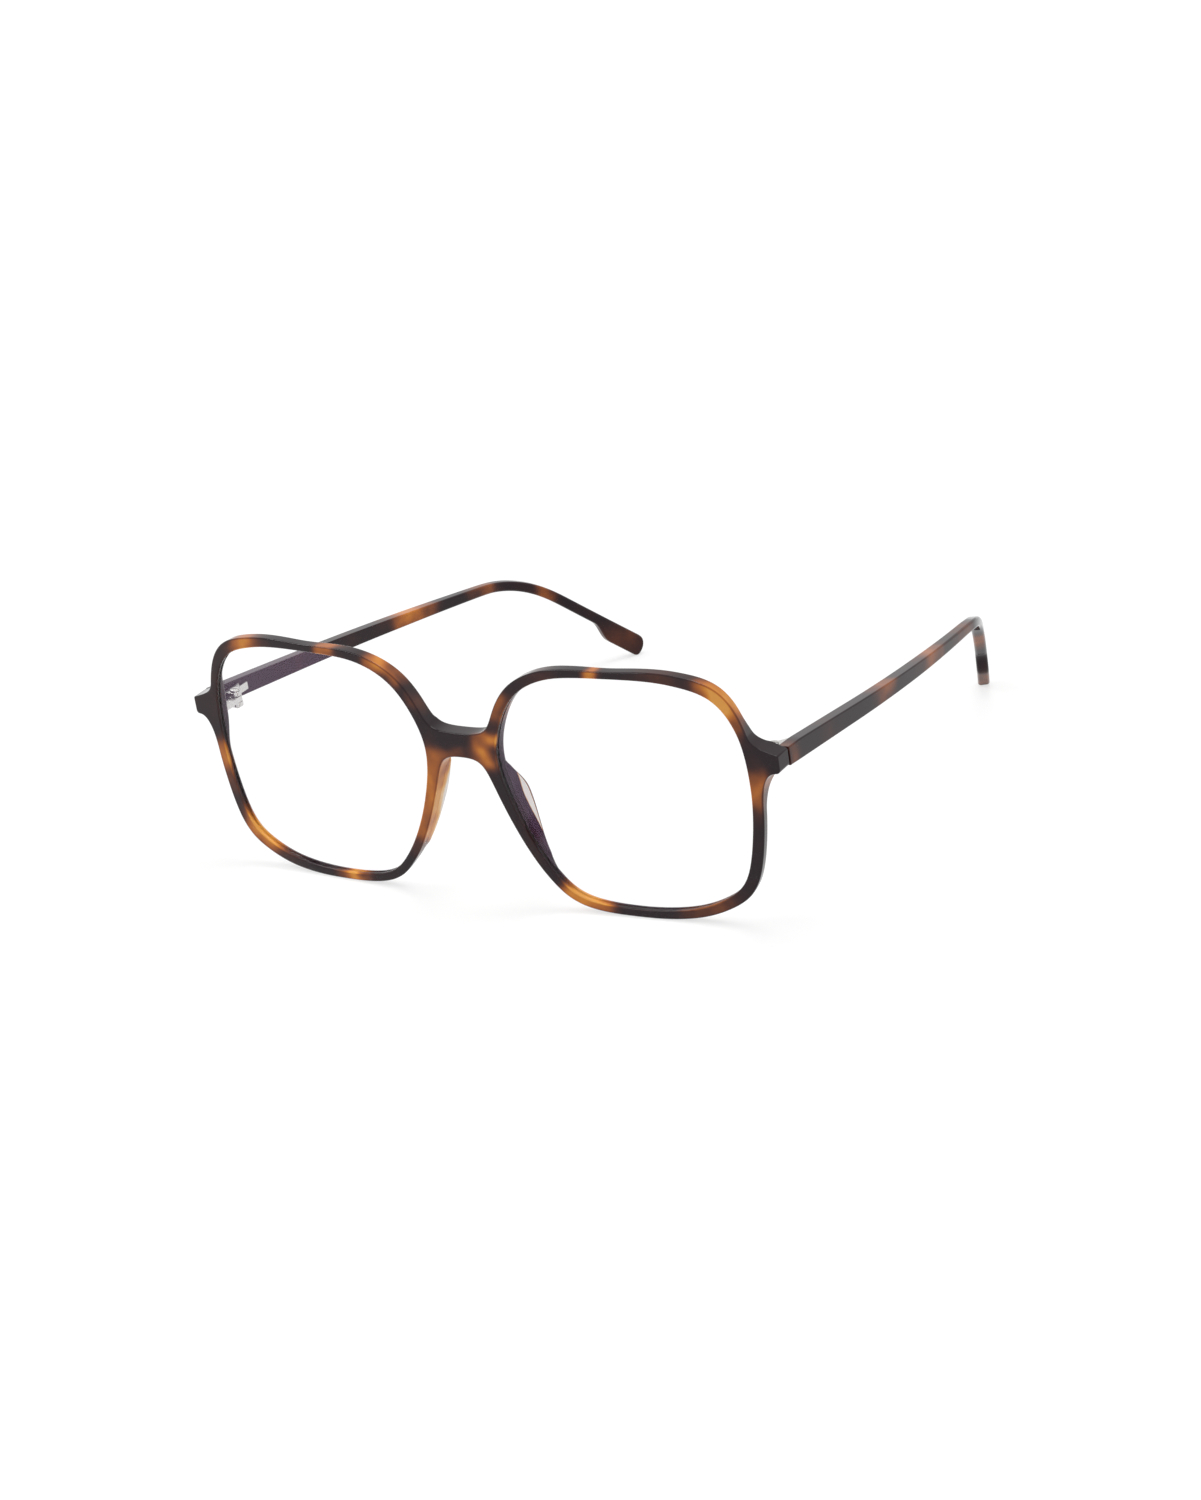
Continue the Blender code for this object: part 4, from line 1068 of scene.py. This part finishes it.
def arm_stations():
    quarter = 1 - np.cos(np.linspace(0, math.pi / 2, END_STEPS))
    ends = [BUTT_EDGE * quarter]
    ends += [ARM_LENGTH - run * quarter for run in (TIP_TOP_RUN, TIP_LOW_RUN, TIP_EDGE)]
    body = np.linspace(BUTT_EDGE, ARM_LENGTH - TIP_TOP_RUN, BODY_STATIONS)
    return np.unique(np.round(np.concatenate([*ends, body]), 9))


def arm_path():
    """A chain of edges through the stations, with the attributes that the sweep reads."""
    stations = arm_stations()
    top = np.array([arm_edge(s, 0) for s in stations])
    bottom = np.array([arm_edge(s, 1) for s in stations])
    down = unit(bottom - top)
    side = unit(np.cross(unit(np.gradient((top + bottom) / 2, axis=0)), down))
    side[0] = side[1]
    butt_in = BUTT_EDGE * np.array([rounded_off(s, BUTT_EDGE) for s in stations])
    left = ARM_LENGTH - stations
    top_drop = TIP_HEIGHT - TIP_LOW_DROP - TIP_FLAT
    top_in = butt_in + top_drop * np.clip(1 - left / TIP_TOP_RUN, 0, 1) ** TIP_TOP_POWER
    low_in = butt_in + TIP_LOW_DROP * np.array([rounded_off(d, TIP_LOW_RUN) for d in left])
    top, bottom = top + down * top_in[:, None], bottom - down * low_in[:, None]
    half_height = np.linalg.norm(bottom - top, axis=1) / 2
    tip_in = TIP_EDGE * np.array([rounded_off(d, TIP_EDGE) for d in left])
    half_thickness = ARM_THICKNESS / 2 - butt_in - tip_in
    edge = ARM_EDGE + (TIP_EDGE - ARM_EDGE) * smooth_step((stations - TIP_EDGE_FROM) / TIP_EDGE_RUN)
    rounding = np.minimum(edge, ROUNDING_LIMIT * np.minimum(half_height, half_thickness))
    middle = (top + bottom) / 2
    mesh = bpy.data.meshes.new("arm_path")
    mesh.from_pydata(middle.tolist(), [(k, k + 1) for k in range(len(stations) - 1)], [])
    for label, values in (("middle", middle), ("down", down), ("side", side)):
        mesh.attributes.new(label, "FLOAT_VECTOR", "POINT").data.foreach_set("vector", values.ravel())
    sizes = {"half_height": half_height, "half_thickness": half_thickness, "rounding": rounding}
    for label, values in sizes.items():
        mesh.attributes.new(label, "FLOAT", "POINT").data.foreach_set("value", values)
    return mesh


arm = run_tree(arm_sweep, arm_path(), {"Ring points": RING_POINTS, "Finish": left_arm_acetate})
arm_finishes = {"left": left_arm_acetate, "right": right_arm_acetate}
for side, mesh in on_both_sides(closed(arm)).items():
    add_piece(f"tortoise_arm_{side}", with_flat_normals(mesh), arm_finishes[side], f"{side}_arm",
              [f"{side}_temple"])

# %% [markdown]
# ## The hinges
# Each hinge is two stamped leaves: one knuckle on the front, two on the arm, with a screw as the pin.
# A leaf is drawn in plan, raised to its height, and a Bevel modifier rounds its edges as tumbling does.

# %% Leaf helpers
KNUCKLE_RADIUS = 1.25 * MM
FRONT_KNUCKLE = 1.2 * MM
ARM_KNUCKLE = 1.0 * MM
HINGE_PLAY = 0.1 * MM
HINGE_HALF = FRONT_KNUCKLE / 2 + HINGE_PLAY + ARM_KNUCKLE
LEAF_EDGE = 0.09 * MM
LEAF_EDGE_STEPS = 3
KNUCKLE_STEPS = 25


def slab(plan, low, high):
    """Points and faces of an upright block with the given outline."""
    count = len(plan)
    points = [(x, y, level) for level in (low, high) for x, y in plan]
    faces = row_faces(2, count) + [tuple(range(count)), tuple(range(count, 2 * count))]
    return points, faces


def box_plan(low_x, low_y, high_x, high_y):
    return [(low_x, low_y), (high_x, low_y), (high_x, high_y), (low_x, high_y)]


def bevelled(name, slabs):
    """The blocks as one mesh with small rounded edges."""
    points, faces = [], []
    for block_points, block_faces in slabs:
        faces += [tuple(k + len(points) for k in face) for face in block_faces]
        points += block_points
    mesh = mesh_from(name, points, faces)
    edit(mesh, lambda work: bmesh.ops.recalc_face_normals(work, faces=work.faces))
    item = temporary(mesh)
    bevel = item.modifiers.new("tumbled_edge", "BEVEL")
    bevel.width = LEAF_EDGE
    bevel.segments = LEAF_EDGE_STEPS
    bevel.limit_method = "ANGLE"
    bevel.angle_limit = SHARP
    return with_flat_normals(evaluated(item))


print("hinge is %.1f mm high" % (2 * HINGE_HALF / MM))

# %% Front leaves and arm leaves
FRONT_LEAF_WIDTH = 2.1 * MM
FRONT_LEAF_HEIGHT = 2.8 * MM
FRONT_LEAF_STAND = 0.3 * MM
FRONT_LEAF_SINK = 0.5 * MM
ARM_LEAF_LENGTH = 6.0 * MM
ARM_LEAF_HEIGHT = 1.7 * MM
LEAF_THICKNESS = 0.5 * MM
KNUCKLE_FOOT = 4.2 * MM


def front_leaf():
    outer = LAND_X - SEAM_GAP
    back = face_sag(outer) + FRONT_DEPTH
    plate = box_plan(outer - FRONT_LEAF_WIDTH, back - FRONT_LEAF_SINK, outer, back + FRONT_LEAF_STAND)
    tongue = [*arc(AXIS.xy, KNUCKLE_RADIUS, 0, 180, KNUCKLE_STEPS), (AXIS.x - KNUCKLE_RADIUS, back),
              (AXIS.x + KNUCKLE_RADIUS, back)]
    half_plate, half_tongue = FRONT_LEAF_HEIGHT / 2, FRONT_KNUCKLE / 2
    return bevelled("front_leaf", [slab(plate, AXIS.z - half_plate, AXIS.z + half_plate),
                                   slab(tongue, AXIS.z - half_tongue, AXIS.z + half_tongue)])


def arm_leaf():
    seat = ARM_INNER_X - SEAM_GAP
    ear = [*arc(AXIS.xy, KNUCKLE_RADIUS, 120, 270, KNUCKLE_STEPS), (seat, AXIS.y - KNUCKLE_RADIUS),
           (seat, AXIS.y + KNUCKLE_FOOT)]
    clear = AXIS.y + KNUCKLE_RADIUS + 2 * HINGE_PLAY
    slant = (seat - ear[0][0]) / (AXIS.y + KNUCKLE_FOOT - ear[0][1])
    foot = [(ear[0][0] + slant * (clear - ear[0][1]), clear), (seat, clear), (seat, AXIS.y + KNUCKLE_FOOT)]
    gap = FRONT_KNUCKLE / 2 + HINGE_PLAY
    start = AXIS.y + KNUCKLE_FOOT - ARM_LEAF_LENGTH / 2 - LEAF_THICKNESS
    plate = box_plan(seat - SEAM_GAP, start, ARM_INNER_X + LEAF_THICKNESS, start + ARM_LEAF_LENGTH)
    mesh = bevelled("arm_leaf", [slab(ear, AXIS.z + gap, AXIS.z + HINGE_HALF),
                                 slab(ear, AXIS.z - HINGE_HALF, AXIS.z - gap),
                                 slab(foot, AXIS.z - gap - HINGE_PLAY, AXIS.z + gap + HINGE_PLAY),
                                 slab(plate, AXIS.z - ARM_LEAF_HEIGHT / 2, AXIS.z + ARM_LEAF_HEIGHT / 2)])
    for vertex in mesh.vertices:
        vertex.co.x -= bow_in(vertex.co.y)
    return mesh


for side, mesh in on_both_sides(front_leaf()).items():
    add_piece(f"front_leaf_{side}", mesh, hinge_metal, "front", [f"{side}_front_hinge"])
for side, mesh in on_both_sides(arm_leaf()).items():
    add_piece(f"arm_leaf_{side}", mesh, hinge_metal, f"{side}_arm", [f"{side}_temple_hinge"])

# %% [markdown]
# ## The hinge screws
# A screw is turned on a lathe: one half section, spun about its axis, with a slot sawn in the head. Both
# hinges use the same one, so a Geometry Nodes tree lathes the section that it is given, cuts the slot
# and puts a copy on each axis. Its grid has a row for each point of the section and wraps round once.

# %% The screw as a node tree
SCREW_WELD = 0.001 * MM


def make_screw_tree():
    tree, given, result = group("hinge_screws", "GeometryNodeTree",
                                {"Section": "Geometry", "Section points": "Int", "Sides": "Int",
                                 "Left axis": "Vector", "Right axis": "Vector", "Lean": "Vector",
                                 "Slot size": "Vector", "Slot place": "Vector", "Finish": "Material"},
                                {"Screws": "Geometry"})
    columns = shader_math(tree, "ADD", given["Sides"], 1.0)
    grid = node(tree, "GeometryNodeMeshGrid", {"Vertices X": given["Section points"], "Vertices Y": columns})
    index = node(tree, "GeometryNodeInputIndex").outputs[0]
    half_step = shader_math(tree, "ADD", index, 0.5)
    row = shader_math(tree, "FLOOR", shader_math(tree, "DIVIDE", half_step, columns))
    column = shader_math(tree, "SUBTRACT", index, shader_math(tree, "MULTIPLY", row, columns))
    turn = shader_math(tree, "MULTIPLY", shader_math(tree, "DIVIDE", column, given["Sides"]), math.tau)
    position = node(tree, "GeometryNodeInputPosition").outputs[0]
    sample = node(tree, "GeometryNodeSampleIndex",
                  {"Geometry": given["Section"], "Value": position, "Index": row},
                  data_type="FLOAT_VECTOR", domain="POINT")
    section = node(tree, "ShaderNodeSeparateXYZ", {0: sample.outputs["Value"]}).outputs
    place = node(tree, "ShaderNodeCombineXYZ",
                 {"X": shader_math(tree, "MULTIPLY", section["X"], shader_math(tree, "COSINE", turn)),
                  "Y": shader_math(tree, "MULTIPLY", section["X"], shader_math(tree, "SINE", turn)),
                  "Z": section["Z"]})
    turned = node(tree, "GeometryNodeSetPosition",
                  {"Geometry": grid.outputs["Mesh"], "Position": place.outputs[0]})
    welded = node(tree, "GeometryNodeMergeByDistance",
                  {"Geometry": turned.outputs["Geometry"], "Distance": SCREW_WELD})
    blade = node(tree, "GeometryNodeMeshCube", {"Size": given["Slot size"]})
    placed = node(tree, "GeometryNodeTransform",
                  {"Geometry": blade.outputs["Mesh"], "Translation": given["Slot place"]})
    slotted = node(tree, "GeometryNodeMeshBoolean", operation="DIFFERENCE", solver="EXACT")
    tree.links.new(welded.outputs["Geometry"], slotted.inputs["Mesh 1"])
    tree.links.new(placed.outputs["Geometry"], slotted.inputs["Mesh 2"])
    axes = node(tree, "GeometryNodeMeshLine", {"Count": 2, "Start Location": given["Left axis"],
                                               "Offset": given["Right axis"]}, mode="END_POINTS")
    copies = node(tree, "GeometryNodeInstanceOnPoints",
                  {"Points": axes.outputs["Mesh"], "Rotation": given["Lean"],
                   "Instance": slotted.outputs["Mesh"]})
    real = node(tree, "GeometryNodeRealizeInstances", {"Geometry": copies.outputs["Instances"]})
    dressed = node(tree, "GeometryNodeSetMaterial",
                   {"Geometry": real.outputs["Geometry"], "Material": given["Finish"]})
    tree.links.new(dressed.outputs["Geometry"], result.inputs["Screws"])
    return tree


screw_tree = make_screw_tree()
print("tree:", screw_tree.name, "with", len(screw_tree.nodes), "nodes")

# %% Screws on both axes
SCREW_RADIUS = 0.5 * MM
SCREW_HEAD_RADIUS = 1.05 * MM
SCREW_HEAD = 0.4 * MM
SCREW_TIP = 0.5 * MM
SLOT_WIDTH = 0.3 * MM
SLOT_DEPTH = 0.2 * MM
THREAD_PITCH = 0.2 * MM
THREAD_DEPTH = 0.06 * MM
SCREW_POINT = 0.8               # share of the radius that is left at the very end
DOME_STEPS = 8
SCREW_SIDES = 48


def screw_section():
    """Half section of the screw as (radius, height) pairs, from the head down to the threaded tip."""
    head_low = HINGE_HALF + HINGE_PLAY
    head_high = head_low + SCREW_HEAD
    dome_middle = (SCREW_HEAD_RADIUS - SCREW_HEAD / 2, head_high - SCREW_HEAD / 2)
    dome = arc(dome_middle, SCREW_HEAD / 2, 90, 0, DOME_STEPS)
    section = [(0.0, head_high), *dome, (SCREW_HEAD_RADIUS, head_low), (SCREW_RADIUS, head_low)]
    end = -HINGE_HALF - SCREW_TIP
    for crest in np.arange(-HINGE_HALF, end + THREAD_PITCH, -THREAD_PITCH):
        section += [(SCREW_RADIUS, crest), (SCREW_RADIUS - THREAD_DEPTH, crest - THREAD_PITCH / 2)]
    return section + [(SCREW_RADIUS * SCREW_POINT, end), (0.0, end)]


section = screw_section()
section_mesh = mesh_from("screw_section", [(radius, 0.0, height) for radius, height in section], [])
left_axis = STAND @ AXIS
right_axis = Vector((-left_axis.x, left_axis.y, left_axis.z))
screws = run_tree(screw_tree, section_mesh, {
    "Section points": len(section), "Sides": SCREW_SIDES, "Left axis": left_axis, "Right axis": right_axis,
    "Lean": (LEAN, 0.0, 0.0), "Slot size": (3 * SCREW_HEAD_RADIUS, SLOT_WIDTH, 2 * SLOT_DEPTH),
    "Slot place": (0.0, 0.0, HINGE_HALF + HINGE_PLAY + SCREW_HEAD), "Finish": hinge_metal})
add_piece("hinge_screws", with_flat_normals(closed(screws)), hinge_metal, "front",
          ["left_hinge_screw", "right_hinge_screw"])

# %% [markdown]
# ## The wire cores
# A wire is shot into each hot arm to keep its bend. It lies inside the acetate, and its CAD shape is
# already right, so the two nodes stay and get a drawn-wire finish.

# %% Core finish
for side in ("left", "right"):
    core = frame["nodes"][f"{side}_temple_core"]
    core.data.materials.clear()
    core.data.materials.append(core_metal)
    print(core.name, "keeps its CAD mesh with", core.data.materials[0].name)

# %% [markdown]
# ## Studio
# The pair stands on a white table under soft light from all sides. The table and the world are white to
# the camera and to what gloss and glass reflect, while the light that falls on the object stays at a
# plain level. Near the object, part of the table's white is its own shading, so the shadows show there.
# Further out the shading gives way to plain white, as on a table that runs into a white backdrop.

# %% Floor and world
FLOOR_HALF = 3.0
FLOOR_DROP = 0.05 * MM          # room under the tips, so that nothing sinks into the table
FLOOR_GLOW = 0.68               # share of the table's white that shadows don't reach
FLOOR_WHITE = 0.32              # the table's own colour as the camera sees it
FLOOR_PALE = 0.80               # and as it lights the object
FLOOR_ROUGHNESS = 0.9
GLOW_FROM, GLOW_TO = 0.12, 0.40
WORLD_LIGHT = 0.70


def seen_directly(tree):
    """1 for rays from the camera and for reflections and views through glass, else 0."""
    path = node(tree, "ShaderNodeLightPath").outputs
    seen = shader_math(tree, "MAXIMUM", path["Is Camera Ray"], path["Is Glossy Ray"])
    return shader_math(tree, "MAXIMUM", seen, path["Is Transmission Ray"])


def floor_finish():
    finish, tree, shader = principled("white_table")
    shader.inputs["Roughness"].default_value = FLOOR_ROUGHNESS
    shader.inputs["Specular IOR Level"].default_value = 0.0
    seen = seen_directly(tree)
    distance = vector_math(tree, "LENGTH", node(tree, "ShaderNodeTexCoord").outputs["Object"])
    glow = node(tree, "ShaderNodeMapRange",
                {"Value": distance, "From Min": GLOW_FROM, "From Max": GLOW_TO, "To Min": FLOOR_GLOW,
                 "To Max": 1.0},
                interpolation_type="SMOOTHSTEP")
    lighting, showing = ((grey, grey, grey, 1) for grey in (FLOOR_PALE, FLOOR_WHITE))
    tree.links.new(mix_colour(tree, seen, lighting, showing), shader.inputs["Base Color"])
    strength = shader_math(tree, "MULTIPLY", seen, glow.outputs["Result"])
    tree.links.new(strength, shader.inputs["Emission Strength"])
    shader.inputs["Emission Color"].default_value = (1, 1, 1, 1)
    return finish


corners = [(-1, -1), (1, -1), (1, 1), (-1, 1)]
floor_points = [(FLOOR_HALF * x, FLOOR_HALF * y, -FLOOR_DROP) for x, y in corners]
floor_mesh = mesh_from("floor", floor_points, [(0, 1, 2, 3)])
floor_mesh.materials.append(floor_finish())
floor = bpy.data.objects.new("floor", floor_mesh)
bpy.context.scene.collection.objects.link(floor)

world = bpy.data.worlds.new("white_studio")
world.use_nodes = True
background = world.node_tree.nodes["Background"]
background.inputs["Color"].default_value = (1, 1, 1, 1)
world_light = node(world.node_tree, "ShaderNodeMapRange", {"Value": seen_directly(world.node_tree),
                                                           "To Min": WORLD_LIGHT, "To Max": 1.0})
world.node_tree.links.new(world_light.outputs["Result"], background.inputs["Strength"])
bpy.context.scene.world = world
print("floor and world are white to the camera")

# %% Lamps
AIM = Vector((0, 0, 0.03))


def softbox(name, place, size, watts):
    """A rectangular lamp that faces the middle of the object."""
    lamp = bpy.data.lights.new(name, "AREA")
    lamp.shape = "RECTANGLE"
    lamp.size, lamp.size_y = size
    lamp.energy = watts
    item = bpy.data.objects.new(name, lamp)
    item.location = place
    item.rotation_mode = "QUATERNION"
    item.rotation_quaternion = (AIM - Vector(place)).to_track_quat("-Z", "Y")
    bpy.context.scene.collection.objects.link(item)
    return item


softbox("overhead", place=(0.05, 0.10, 0.80), size=(0.36, 0.36), watts=2.4)
softbox("edge_strip", place=(-0.45, -0.32, 0.70), size=(0.60, 0.06), watts=1.6)

# %% [markdown]
# ## Camera
# The place and turn of the camera come from fitting a pinhole camera to the outlines in the photograph:
# it stands in front of the wearer's left side, looks down a little, and is tilted a few degrees.

# %% The photograph's camera
IMAGE_HEIGHT = 1500
FOCAL_PIXELS = 3575.0
CAMERA_PLACE = Vector((391.99, -619.69, 279.78)) * MM
CAMERA_AZIMUTH = math.radians(33.205)
CAMERA_ELEVATION = math.radians(20.356)
CAMERA_ROLL = math.radians(-6.852)

lens_data = bpy.data.cameras.new("photo_camera")
lens_data.lens = FOCAL_PIXELS * lens_data.sensor_width / IMAGE_HEIGHT
lens_data.clip_start = 0.01
camera = bpy.data.objects.new("photo_camera", lens_data)
camera.matrix_world = (Matrix.Translation(CAMERA_PLACE) @ Matrix.Rotation(CAMERA_AZIMUTH, 4, "Z")
                       @ Matrix.Rotation(math.pi / 2 - CAMERA_ELEVATION, 4, "X")
                       @ Matrix.Rotation(CAMERA_ROLL, 4, "Z"))
bpy.context.scene.collection.objects.link(camera)
bpy.context.scene.camera = camera
bpy.context.scene.view_settings.view_transform = "Standard"
print("lens %.1f mm" % lens_data.lens)
